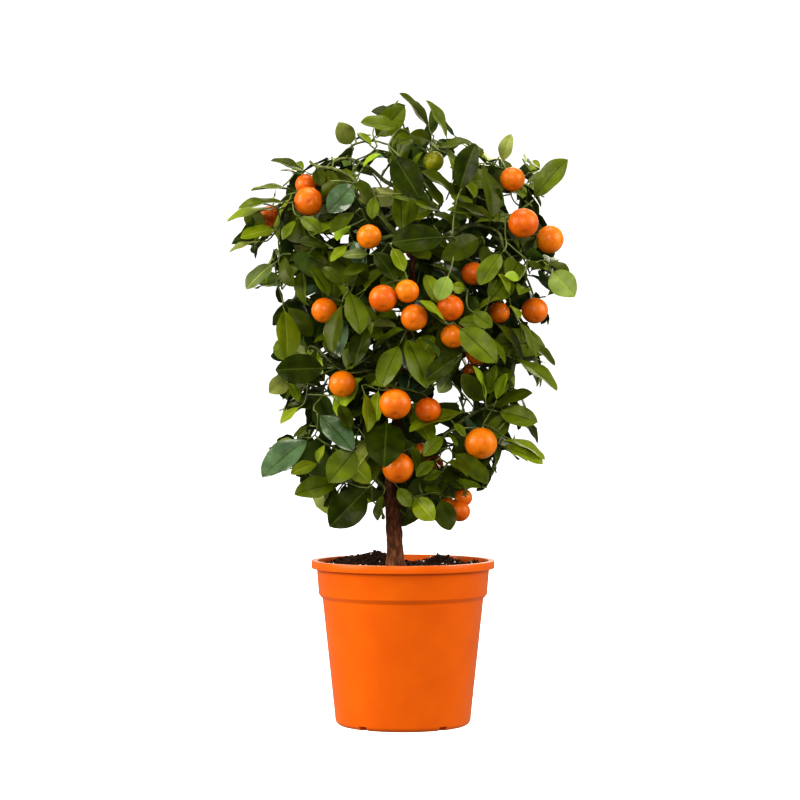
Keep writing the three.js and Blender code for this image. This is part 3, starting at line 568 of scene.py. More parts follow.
# %% [markdown]
# The trunk is slender, leans a little and flares where it meets the soil. Low
# down its bark is brown and rough, with cracks that run lengthwise. The relief
# is real, so that its outline is uneven too: noise that is stretched along the
# trunk, scored by its ridges.

# %% Trunk line and bark relief
TRUNK = [
    ((-7.8, 0, 163.3), 8.6),
    ((-9.3, 1, 201), 7.9),
    ((-10.4, 1, 222), 8),
    ((-13, -1, 246), 6.1),
    ((-8, -3, 300), 5.3),
    ((2, 0, 385), 4.4),
    ((10, 3, 470), 3.5),
    ((12, 1, 530), 2.8),
    ((12, 0, 549), 2.5),
]
FLARE = {"share": 0.28, "height": 9}
STUB = {
    "height": 226,
    "direction": (1, -0.3, 0.35),
    "length": 13,
    "radius": 4.2,
    "taper": ([0, 0.6, 0.9, 1], [1.2, 1, 0.85, 0.5]),
}
SUNK = 6
# Sizes of the bark's swellings across and along the wood, and what share of the radius they add.
# Old bark fades between two heights.
OLD_BARK = {
    "ridge": (2.6, 2.6, 11),
    "ridge_share": 0.11,
    "lump": (9, 9, 16),
    "lump_share": 0.09,
    "fade": ([230, 330], [1, 0.35]),
}
YOUNG_BARK = {"lump": 5, "lump_share": 0.1, "grain_share": 0.05}

trunk_points = np.array([point for point, _ in TRUNK], dtype=float)
trunk_line = smooth_line([trunk_points[0] - (0, 0, SUNK), *trunk_points], step=1.6)


def trunk_radius(z):
    """Radius of the trunk at a height."""
    bare = np.interp(z, trunk_points[:, 2], [radius for _, radius in TRUNK])
    return bare * (1 + FLARE["share"] * np.exp(-np.maximum(z - trunk_points[0, 2], 0) / FLARE["height"]))


def trunk_point(z):
    """Middle of the trunk at a height."""
    return points_at(z, trunk_points[:, 2], trunk_points)


def rough_bark(point):
    """Ridges and cracks of old bark, weaker higher up, as a share of the radius."""
    ridges = noise.fractal(Vector(point / OLD_BARK["ridge"]), 1.0, 2.0, 4)
    lumps = noise.noise(Vector(point / OLD_BARK["lump"]))
    share = OLD_BARK["ridge_share"] * ridges + OLD_BARK["lump_share"] * lumps
    return share * float(np.interp(point[2], *OLD_BARK["fade"]))


def green_bark(point):
    """Faint swellings of young bark, as a share of the radius."""
    lumps = noise.noise(Vector(point / YOUNG_BARK["lump"]))
    return YOUNG_BARK["lump_share"] * lumps + YOUNG_BARK["grain_share"] * noise.noise(Vector(point))


stub_root = trunk_point(STUB["height"])
stub_tip = stub_root + unit(np.array(STUB["direction"])) * STUB["length"]
stub_line = smooth_line([stub_root, (stub_root + stub_tip) / 2, stub_tip], step=1.3)
stub_radii = STUB["radius"] * np.interp(np.linspace(0, 1, len(stub_line)), *STUB["taper"])
trunk_parts = [
    whole(*tube_along(trunk_line, trunk_radius(trunk_line[:, 2]), TUBE_SIDES["trunk"], rough_bark), 0),
    whole(*tube_along(stub_line, stub_radii, TUBE_SIDES["stub"], rough_bark), 0),
]
print("the trunk is", round(trunk_points[-1, 2] - trunk_points[0, 2]), "mm from the soil to its tip")

# %% [markdown]
# Bark is a dull, dry skin. Its colour runs in streaks along the wood, dark
# brown to grey-brown. The boughs keep the smooth olive skin of young citrus,
# and the twigs are greener still.

# %% Bark and young wood
old_bark, shader = new_material("rough citrus bark", 0.88, Specular_IOR_Level=0.3)
streaks = cloud_of(old_bark, size=3, detail=6, stretch=(1, 1, 0.3))
colour_between(
    old_bark,
    shader,
    streaks,
    [(0.3, "#2C150B"), (0.46, "#502C19"), (0.58, "#663F27"), (0.74, "#7C563A")],
)
raise_by(old_bark, shader, cloud_of(old_bark, size=1.1, detail=6, stretch=(1, 1, 0.35)), depth=0.7)
new_piece("trunk_bark", joined_mesh("trunk_bark", trunk_parts), [old_bark], ["trunk"])

young_bark, shader = new_material("smooth olive bark", 0.6, Specular_IOR_Level=0.4)
colour_between(
    young_bark,
    shader,
    cloud_of(young_bark, size=6, detail=5),
    [(0.32, "#3C421C"), (0.5, "#5C662E"), (0.68, "#7A864A")],
)
raise_by(young_bark, shader, cloud_of(young_bark, size=1.2, detail=4), depth=0.25)

green_wood, shader = new_material("green twig", 0.5)
colour_between(
    green_wood,
    shader,
    cloud_of(green_wood, size=12),
    [(0.35, "#3C4A16"), (0.55, "#526020"), (0.7, "#6C7638")],
)

# %% [markdown]
# The crown is grown by rule. Its reach is a table of how far it goes to the
# left, the right and the front at each height. Inside it there are thirteen
# cells, one for each mass, and every twig, leaf and orange belongs to the cell
# whose heart is nearest. Lanes of open air stay free, so the sky shows through
# where it does on the plant.

# %% The crown's reach, its cells and its open air
CROWN = [
    (202, 70, 46, 45),
    (225, 92, 66, 72),
    (252, 112, 92, 92),
    (276, 144, 142, 105),
    (330, 130, 138, 116),
    (380, 139, 150, 120),
    (430, 138, 152, 120),
    (456, 162, 178, 118),
    (500, 180, 166, 114),
    (545, 163, 155, 106),
    (576, 124, 164, 92),
    (597, 90, 114, 74),
    (618, 72, 58, 54),
    (638, 30, 40, 30),
    (652, 2, 16, 10),
]
CROWN_SQUARENESS = 2.6

MASSES = {
    "low_left": (238, [(-38, 3, 263)], (-87, -19, 275), 3.9),
    "low_front": (262, [], (12, -58, 288), 2.8),
    "low_right": (254, [(14, -3, 280), (44, -6, 300)], (76, -21, 287), 3.7),
    "low_back": (280, [], (0, 58, 312), 3),
    "mid_left": (346, [(-29, -5, 366), (-62, -7, 371)], (-96, 22, 388), 3.4),
    "mid_front": (368, [], (-28, -56, 414), 2.7),
    "mid_right": (352, [(34, 3, 371)], (96, 16, 394), 3.3),
    "mid_back": (388, [], (5, 62, 432), 2.8),
    "high_left": (492, [(-33, -3, 529), (-66, -4, 566)], (-110, -22, 512), 2.9),
    "high_front": (452, [], (-22, -50, 500), 2.4),
    "high_right": (470, [(42, 0, 505), (76, -4, 518)], (100, -21, 500), 3),
    "high_back": (480, [], (5, 60, 540), 2.5),
    "top": (549, [], (0, -5, 600), 2.3),
}
LIMB_ROOT_SHARE = 1.25
LIMB_TIP_SHARE = 0.62
LEVELS = ("low", "mid", "high")

crown_table = np.array(CROWN, dtype=float)
mass_names = list(MASSES)
hearts = np.array([heart for _, _, heart, _ in MASSES.values()], dtype=float)


def place_in_crown(points):
    """How far out points are: 0 on the crown's axis, 1 at its edge, more outside."""
    left, right, deep = (
        np.interp(points[:, 2], crown_table[:, 0], crown_table[:, i], left=1, right=1) for i in (1, 2, 3)
    )
    across = np.abs(2 * points[:, 0] - right + left) / (right + left)
    away = across**CROWN_SQUARENESS + np.abs(points[:, 1] / deep) ** CROWN_SQUARENESS
    return away ** (1 / CROWN_SQUARENESS)


def front_of_crown(x, z):
    """Depth y of the crown's front at a place across and up."""
    left, right, deep = (np.interp(z, crown_table[:, 0], crown_table[:, i]) for i in (1, 2, 3))
    across = min(abs(2 * x - right + left) / (right + left), 1)
    return -deep * (1 - across**CROWN_SQUARENESS) ** (1 / CROWN_SQUARENESS)


def mass_of(point):
    """Name of the mass whose cell a point is in."""
    return mass_names[int(np.argmin(np.linalg.norm(hearts - point, axis=1)))]


def level_of(point):
    """Which of the three levels of the crown a point is in."""
    name = mass_of(point).split("_")[0]
    return "high" if name == "top" else name


# Sky that shows through: middle across, middle up and radius.
SKY = [
    (44, 344, 10),
    (8, 624, 4),
    (-17, 605, 3.5),
    (38, 550, 8),
    (-44, 595, 7),
    (-40, 563, 7),
    (-135, 500, 7),
    (113, 539, 6.5),
    (121, 366, 6.5),
    (46, 569, 6),
    (45, 278, 6),
    (-22, 582, 5),
    (39, 306, 5),
    (-119, 446, 5),
    (133, 458, 5),
    (59, 592, 5),
]
# Smaller gaps near the crown's edge, as columns, rows and radii of the view.
SKY_IN_VIEW = [
    (335, 147, 7),
    (322, 154, 5),
    (306, 158, 5),
    (368, 128, 6),
    (374, 166, 4),
    (386, 179, 4),
    (407, 110, 4),
    (415, 117, 4),
    (438, 134, 4),
    (479, 140, 5),
    (490, 147, 7),
    (518, 161, 5),
    (547, 203, 5),
    (548, 213, 7),
    (545, 166, 4),
    (268, 292, 6),
    (289, 291, 4),
    (270, 194, 4),
    (262, 185, 4),
    (345, 240, 4),
    (287, 426, 8),
    (300, 416, 6),
    (372, 508, 5),
    (364, 521, 6),
    (377, 521, 4),
    (530, 384, 6),
    (531, 396, 6),
    (508, 460, 7),
    (503, 468, 6),
    (534, 271, 4),
    (540, 290, 4),
    (470, 499, 4),
    (268, 345, 4),
    (266, 408, 5),
    (250, 259, 5),
    (264, 259, 5),
    (257, 267, 5),
    (273, 367, 6),
    (420, 524, 5),
    (430, 524, 4),
    (460, 132, 6),
    (468, 132, 4),
    (442, 430, 4),
    (452, 439, 4),
    (447, 457, 5),
    (330, 135, 5),
    (328, 148, 5),
    (243, 257, 5),
    (281, 194, 5),
    (280, 180, 4),
    (281, 405, 4),
    (277, 419, 5),
    (541, 331, 6),
    (534, 325, 4),
    (441, 192, 6),
    (449, 203, 4),
    (435, 186, 4),
    (446, 209, 4),
    (515, 151, 5),
    (372, 531, 8),
    (356, 532, 6),
    (520, 386, 5),
    (542, 291, 4),
    (534, 282, 4),
    (391, 101, 4),
    (358, 118, 5),
    (356, 127, 4),
    (271, 308, 5),
    (254, 195, 4),
    (236, 226, 5),
    (436, 526, 4),
    (525, 433, 5),
    (512, 428, 4),
    (531, 402, 5),
    (243, 250, 4),
    (262, 250, 4),
]
# Heights between which the trunk shows among the leaves.
SEEN_TRUNK = [(205, 250), (461, 485)]
# Radius in millimetres of a gap whose radius in the view is one.
GAP_SCALE = 1.04
# A depth y that is behind everything.
BEHIND_ALL = 1000


class Lanes:
    """Round lanes of view that growth stays out of, each in front of a depth y."""

    def __init__(self, sky):
        self.rows = np.array([(x, z, radius, BEHIND_ALL) for x, z, radius in sky], dtype=float)

    def add(self, points, radii):
        """Keeps what is in front of these points clear, over a radius round each."""
        shares = VIEW["distance"] / (VIEW["distance"] + points[:, 1])
        rows = np.column_stack([sighted(points), np.broadcast_to(radii, len(points)) * shares, points[:, 1]])
        self.rows = np.vstack([self.rows, rows])

    def block(self, points):
        """Which points are in a lane."""
        across = sighted(points)[:, None] - self.rows[None, :, :2]
        within = np.linalg.norm(across, axis=2) < self.rows[None, :, 2]
        return (within & (points[:, 1:2] < self.rows[None, :, 3])).any(axis=1)


class Room:
    """Points, each with a radius, that keep growth away from them."""

    def __init__(self):
        self.points = np.empty((0, 3))
        self.radii = np.empty(0)

    def add(self, points, radii=0.0):
        """More points that take up room."""
        self.points = np.vstack([self.points, points])
        self.radii = np.append(self.radii, np.broadcast_to(radii, len(points)))

    def drop_last(self, count):
        """Takes the last points away again."""
        self.points = self.points[: len(self.points) - count]
        self.radii = self.radii[: len(self.radii) - count]

    def gaps(self, points, reach=60.0):
        """How much room each point has, up to a reach."""
        middle = points.mean(axis=0)
        span = np.linalg.norm(points - middle, axis=1).max() + reach
        near = np.linalg.norm(self.points - middle, axis=1) - self.radii < span
        if not near.any():
            return np.full(len(points), reach)
        away = np.linalg.norm(points[:, None] - self.points[near][None], axis=2) - self.radii[near]
        return np.minimum(away.min(axis=1), reach)


small_gaps = [(*at_view(column, row, 0)[[0, 2]], radius * GAP_SCALE) for column, row, radius in SKY_IN_VIEW]
lanes = Lanes(SKY + small_gaps)
wood = Room()
oranges = Room()
blades = Room()
wood.add(trunk_line, trunk_radius(trunk_line[:, 2]))
for low, high in SEEN_TRUNK:
    seen = trunk_line[(trunk_line[:, 2] > low) & (trunk_line[:, 2] < high)][::3]
    lanes.add(seen, trunk_radius(seen[:, 2]))
print(len(MASSES), "cells and", len(lanes.rows), "lanes of sky")

# %% [markdown]
# Thirteen limbs leave the trunk, each to the heart of one mass. They are thin
# and taper to twigs, so they are drawn whole, from inside the trunk to their
# tips.

# %% Limbs
wood_parts = {level: [] for level in LEVELS}
twig_parts = {level: [] for level in LEVELS}
limb_nodes = {level: [] for level in LEVELS}

for name, (height, via, heart, radius) in MASSES.items():
    line = smooth_line([trunk_point(height), *via, heart], step=3)
    radii = np.linspace(radius, radius * LIMB_TIP_SHARE, len(line))
    radii[0] = radius * LIMB_ROOT_SHARE
    level = level_of(heart)
    wood_parts[level].append(whole(*tube_along(line, radii, TUBE_SIDES["limb"], green_bark), 0))
    wood.add(line, radii)
    if "bough_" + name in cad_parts:
        limb_nodes[level].append("bough_" + name)

for level in LEVELS:
    mesh = joined_mesh("boughs_" + level, wood_parts[level])
    new_piece("boughs_" + level, mesh, [young_bark], limb_nodes[level])

# %% [markdown]
# Oranges come next, because everything else keeps clear of them. The ones in
# plain sight are given one by one, each with its size, and more are dealt out
# to the back and the sides. Each hangs from a shoot of its own.

# %% Where the oranges hang
HUNG = (0, 0.7, 0.75)
# Middle, radius, and the way from the middle to the stalk.
ORANGES = [
    ((-96, -60, 537), 14.7, (-0.15, 1, 0.1)),
    ((-99, -38, 556), 11.2, HUNG),
    ((-34, -95, 499), 12.5, HUNG),
    ((111, -55, 560), 12.7, HUNG),
    ((121, -75, 514), 15.4, HUNG),
    ((150, -40, 500), 14.6, (-0.9, 0.5, 0.3)),
    ((134.9, -32, 427.6), 13.7, HUNG),
    ((47, -95, 428), 13.6, HUNG),
    ((4, -107, 444), 12, HUNG),
    ((11, -105, 418), 13.5, (0.1, 0.9, 0.5)),
    ((-20, -105, 437), 14.1, HUNG),
    ((50, -89, 400), 12.6, HUNG),
    ((-8, -105, 332), 15.9, HUNG),
    ((25, -85, 326), 13, HUNG),
    ((78.1, -82, 292.5), 16.4, HUNG),
    ((-5, -85, 268), 15.9, HUNG),
    ((58, -32, 222), 10.8, HUNG),
    ((-61, -85, 352), 13.8, HUNG),
    ((-79, -80, 426), 13.1, HUNG),
    ((71, -60, 464), 12.1, HUNG),
    ((75, -59, 383), 11.6, HUNG),
    ((97.9, -40, 425), 11.2, HUNG),
]
# These are half hidden, so leaves may hang before them.
SHADED_ORANGES = [
    ((-138, -5, 525), 12.4, HUNG),
    ((46, -14, 227), 8.7, HUNG),
    ((62, -26, 236), 9.2, (0.2, -0.9, 0.5)),
    ((18, -32, 281), 11.3, HUNG),
    ((70, -16, 365), 9.3, HUNG),
]
UNRIPE = [((31, -30, 580.5), 11, (-0.6, -0.5, 0.75))]
# Oranges for the back and the sides, by mass.
MORE_ORANGES = {
    "low_left": 1,
    "low_right": 1,
    "low_back": 4,
    "mid_left": 2,
    "mid_right": 2,
    "mid_back": 4,
    "high_left": 1,
    "high_right": 2,
    "high_back": 4,
}
DEALING = {
    "radius": (11, 15),
    "behind": 30,
    "aside": 80,
    "heights": (265, 520),
    "apart": 14,
    "from_wood": 3,
    "out": (0.6, 0.88),
    "stalk_rise": 90.0,
    "rolls": 1500,
}
CROWN_BOX = ((-180, -120, 202), (180, 120, 652))


def rolled_places(count):
    """Places rolled anywhere in the crown's box."""
    return dice.uniform(*CROWN_BOX, (count, 3))


def dealt_oranges(mass):
    """Oranges for the back and sides of a mass: middle, radius and the way to the stalk."""
    found = []
    places = rolled_places(DEALING["rolls"])
    out = place_in_crown(places)
    least, most = DEALING["out"]
    fits = (out > least) & (out < most) & ~lanes.block(places)
    fits &= (places[:, 1] > DEALING["behind"]) & (np.abs(places[:, 0]) < DEALING["aside"])
    low, high = DEALING["heights"]
    fits &= (places[:, 2] > low) & (places[:, 2] < high)
    for place in places[fits]:
        radius = dice.uniform(*DEALING["radius"])
        apart = radius + DEALING["apart"]
        from_wood = radius + DEALING["from_wood"]
        free = oranges.gaps(place[None])[0] > apart and wood.gaps(place[None])[0] > from_wood
        if len(found) < MORE_ORANGES[mass] and free and mass_of(place) == mass:
            toward_axis = unit(np.array([-place[0], -place[1], DEALING["stalk_rise"]]))
            found.append((tuple(place), radius, tuple(toward_axis)))
            oranges.add(place[None], radius)
    return found


for middle, radius, _ in ORANGES + SHADED_ORANGES + UNRIPE:
    oranges.add(np.array([middle], dtype=float), radius)
dealt = [orange for mass in MORE_ORANGES for orange in dealt_oranges(mass)]
clear_view = ORANGES + UNRIPE
lanes.add(np.array([middle for middle, _, _ in clear_view], dtype=float), [r for _, r, _ in clear_view])
print(len(ORANGES + SHADED_ORANGES + UNRIPE), "oranges given one by one and", len(dealt), "dealt out")

# %% [markdown]
# A shoot leaves the nearest wood that it can reach without passing through an
# orange or a leaf, and curves a little on its way. Once it is grown it is wood
# itself, so finer twigs leave it in turn.

# %% Shoots
SHOOT = {
    "step": 5,
    "least_radius": 0.75,
    "per_length": 0.011,
    "parent_share": 0.85,
    "parent_extra": 0.2,
    "bend": 0.1,
    "choices": 40,
    "skip": 3,
    "tried": (0.15, 0.9, 8),
    "orange_room": 1.4,
    "leaf_room": 0.7,
    "lowest": 232,
}
# An orange's stalk: where it ends as a share of the radius, how far it runs straight, its radius.
STALK = {"end": 0.9, "straight": 5, "radius": 0.9}
shoots_grown = []


def start_towards(target):
    """The wood that a shoot to a target leaves: near it, with a clear way between."""
    order = np.argsort(np.linalg.norm(wood.points - target, axis=1))
    order = order[wood.points[order, 2] > SHOOT["lowest"]]
    best = order[0]
    for pick in order[: SHOOT["choices"] * SHOOT["skip"] : SHOOT["skip"]]:
        start = wood.points[pick]
        way = start + (target - start) * np.linspace(*SHOOT["tried"])[:, None]
        if (oranges.gaps(way) > SHOOT["orange_room"]).all():
            if (blades.gaps(way) > SHOOT["leaf_room"]).all() and not lanes.block(way).any():
                return pick
            best = pick if best == order[0] else best
    return best


def grow_shoot(target, arriving=None, tip_radius=0.8):
    """Grows a shoot to a target. Arriving is the point just before its end."""
    target = np.array(target, dtype=float)
    last = target if arriving is None else np.array(arriving, dtype=float)
    pick = start_towards(last)
    start = wood.points[pick]
    length = np.linalg.norm(last - start)
    bend = dice.uniform(-1, 1, 3) * SHOOT["bend"] * length
    points = [start, (start + last) / 2 + bend, last] + ([] if arriving is None else [target])
    line = smooth_line(points, SHOOT["step"])
    parent_allows = SHOOT["parent_share"] * wood.radii[pick] + SHOOT["parent_extra"]
    root_radius = min(SHOOT["least_radius"] + SHOOT["per_length"] * length, parent_allows)
    add_shoot(line, np.linspace(max(root_radius, tip_radius), tip_radius, len(line)), 0)


def add_shoot(line, radii, material):
    """Keeps a shoot, which is wood from now on."""
    shoots_grown.append((line, radii, material))
    wood.add(line, radii)


# Long shoots that show, as points that they pass, with their radii at both ends.
ARCHES = [
    ([(11, 0, 556), (-14, -4, 560), (-36, -6, 577), (-58, -6, 586), (-74, -8, 582)], 2.5, 1.6),
    ([(-58, -6, 586), (-54, -8, 598), (-31, -8, 604), (-12, -8, 600), (3, -10, 607)], 1.4, 0.9),
    ([(-110, -22, 512), (-123, -12, 505), (-128, -8, 485), (-125, -10, 450)], 1.5, 0.9),
]
# The same, as columns and rows of the view, with a depth y.
ARCHES_IN_VIEW = [
    ([(399, 236), (382, 217.5), (367, 197), (353, 179), (335, 169), (316, 166), (309.5, 161)], -58, 2.3, 1.5),
    ([(354, 161), (372, 152.5), (377, 146)], -14, 1, 0.8),
    ([(452, 236), (461, 229), (477, 225), (498, 232), (503.5, 249)], -36, 2.2, 1.6),
    ([(445, 434), (477, 411), (495, 404)], -32, 2.2, 1.6),
    ([(300, 372), (310, 346), (345, 372), (375, 370)], -34, 1.4, 1.2),
]
for points, root_radius, tip_radius in ARCHES:
    line = smooth_line(points, SHOOT["step"])
    add_shoot(line, np.linspace(root_radius, tip_radius, len(line)), 1)
for places, y, root_radius, tip_radius in ARCHES_IN_VIEW:
    points = [at_view(column, row, y) for column, row in places]
    grow_shoot(points[0], tip_radius=root_radius)
    line = smooth_line(points, SHOOT["step"])
    add_shoot(line, np.linspace(root_radius, tip_radius, len(line)), 1)
    lanes.add(line, 2 * tip_radius)

for middle, radius, stalk in ORANGES + SHADED_ORANGES + UNRIPE + dealt:
    way = unit(np.array(stalk, dtype=float))
    middle = np.array(middle, dtype=float)
    end, straight_from = middle + way * radius * STALK["end"], middle + way * (radius + STALK["straight"])
    grow_shoot(end, arriving=straight_from, tip_radius=STALK["radius"])
print("wood has", len(wood.points), "points")

# %% [markdown]
# A citrus leaf is a leathery blade with a short stalk and a pointed tip, folded
# a little along its midrib. A leaf is made from two grids, its upper and its
# lower skin, welded along the margin, and the narrow middle column of the upper
# one is the midrib. There are two such templates: one of a few dozen faces for
# the thousands of grown leaves, and a finer one for those listed one by one.
# Arrays then repeat them, and give each leaf its length, width, fold, bow and waves.

# %% Leaf templates
# Share of the length, and half the width there as a share of the widest.
OUTLINE = [
    (0, 0),
    (0.05, 0.04),
    (0.09, 0.05),
    (0.14, 0.34),
    (0.2, 0.6),
    (0.28, 0.81),
    (0.36, 0.94),
    (0.45, 0.99),
    (0.54, 1),
    (0.63, 0.95),
    (0.72, 0.84),
    (0.8, 0.7),
    (0.88, 0.5),
    (0.95, 0.26),
    (1, 0),
]
PLAIN_LEAF = {"rows": OUTLINE[::2], "upper": [-1, -0.5, -0.06, 0.06, 0.5, 1], "lower": [-1, 0, 1]}
FINE_LEAF = {
    "rows": OUTLINE,
    "upper": [-1, -0.8, -0.5, -0.24, -0.05, 0.05, 0.24, 0.5, 0.8, 1],
    "lower": [-1, -0.5, 0, 0.5, 1],
}
LEAF_THICKNESS = 0.5
# Below 1, each half of the blade arches up between the midrib and the margin.
HALF_ARCH = 0.75
# Waves of the margin: height as a share of the width, radians along the leaf, and radians by
# which one side is ahead and the other behind.
WAVE = {"height": 0.05, "along": 11, "by_side": 2}


def add_skin(shape, rows, columns, skin):
    """Adds one skin of the leaf: side to side in x, base to tip in y, and up or down in z."""
    across, along = len(columns) - 1, len(rows) - 1
    grid = bmesh.ops.create_grid(shape, x_segments=across, y_segments=along, size=1)["verts"]
    for vert in grid:
        column = columns[round((vert.co.x + 1) / 2 * across)]
        run, half_width = rows[round((vert.co.y + 1) / 2 * along)]
        inner = half_width > 0 and abs(column) < 1
        vert.co = (column * half_width, run, skin if inner else 0)
    return {face for vert in grid for face in vert.link_faces}


def leaf_template(form):
    """A leaf's points, its faces, and their finishes: 0 the blade, 1 the midrib, 2 the underside."""
    shape = bmesh.new()
    add_skin(shape, form["rows"], form["upper"], 1)
    lower_faces = add_skin(shape, form["rows"], form["lower"], -1)
    bmesh.ops.reverse_faces(shape, faces=list(lower_faces))
    bmesh.ops.remove_doubles(shape, verts=shape.verts, dist=1e-4)
    points, faces = template_of(shape)
    middles = np.array([points[face].mean(axis=0) for face in faces])
    kinds = np.where(middles[:, 2] < 0, 2, np.where(np.abs(middles[:, 0]) < 0.05, 1, 0))
    return points, faces, kinds


def blade_points(leaves, form):
    """Points of leaves, each at every (side, run, skin) of a form: leaves by points by 3."""
    side, skin = form[:, 0], form[:, 2]
    run = form[:, 1] + leaves["blunt"][:, None] * form[:, 1] * (1 - form[:, 1])
    across = unit(np.cross(leaves["heading"], leaves["face"]))
    up = np.cross(across, leaves["heading"])
    length, width = leaves["length"][:, None], leaves["width"][:, None]
    bow = leaves["bow"][:, None] * length * 4 * run * (1 - run)
    fold = leaves["fold"][:, None] * width / 2 * np.abs(side) ** HALF_ARCH
    wave_angle = run * WAVE["along"] + leaves["phase"][:, None] + WAVE["by_side"] * np.sign(side)
    wave = WAVE["height"] * width * np.abs(side) * np.sin(wave_angle)
    rise = bow + fold + wave + skin * LEAF_THICKNESS / 2
    points = leaves["root"][:, None] + leaves["heading"][:, None] * (length * run)[..., None]
    points = points + across[:, None] * (width / 2 * side)[..., None]
    return points + up[:, None] * rise[..., None]


def points_of(leaf, form):
    """Points of a single leaf."""
    return blade_points({key: np.array([value]) for key, value in leaf.items()}, form)[0]


def trial_form(sides, runs):
    """Points spread over a blade, and its tip, as (side, run, skin)."""
    outline = np.array(OUTLINE)
    spread = [(side * np.interp(run, outline[:, 0], outline[:, 1]), run, 0) for run in runs for side in sides]
    return np.array(spread + [(0, 1, 0)])


# The points of a leaf that are tried against everything else, and against the lanes. A listed
# leaf keeps the view clear round three midrib points of the first set, and only the points
# past that set's first row have to clear the wood.
LEAF_TRIAL = trial_form((-0.95, 0, 0.95), (0.24, 0.45, 0.68, 0.88))
MIDRIB_TRIAL = [1, 4, 7]
PAST_FIRST_ROW = 3
LANE_TRIAL = trial_form((-0.95, -0.5, 0, 0.5, 0.95), (0.2, 0.34, 0.48, 0.62, 0.76, 0.9))

plain_leaf = leaf_template(PLAIN_LEAF)
fine_leaf = leaf_template(FINE_LEAF)
leaves_grown = []


def add_leaf(leaf, tone, template):
    """Keeps a leaf, which takes up room from now on."""
    leaves_grown.append((leaf, tone, template))
    blades.add(points_of(leaf, LEAF_TRIAL))


print("a leaf has", len(plain_leaf[1]), "faces, or", len(fine_leaf[1]), "when set by hand")
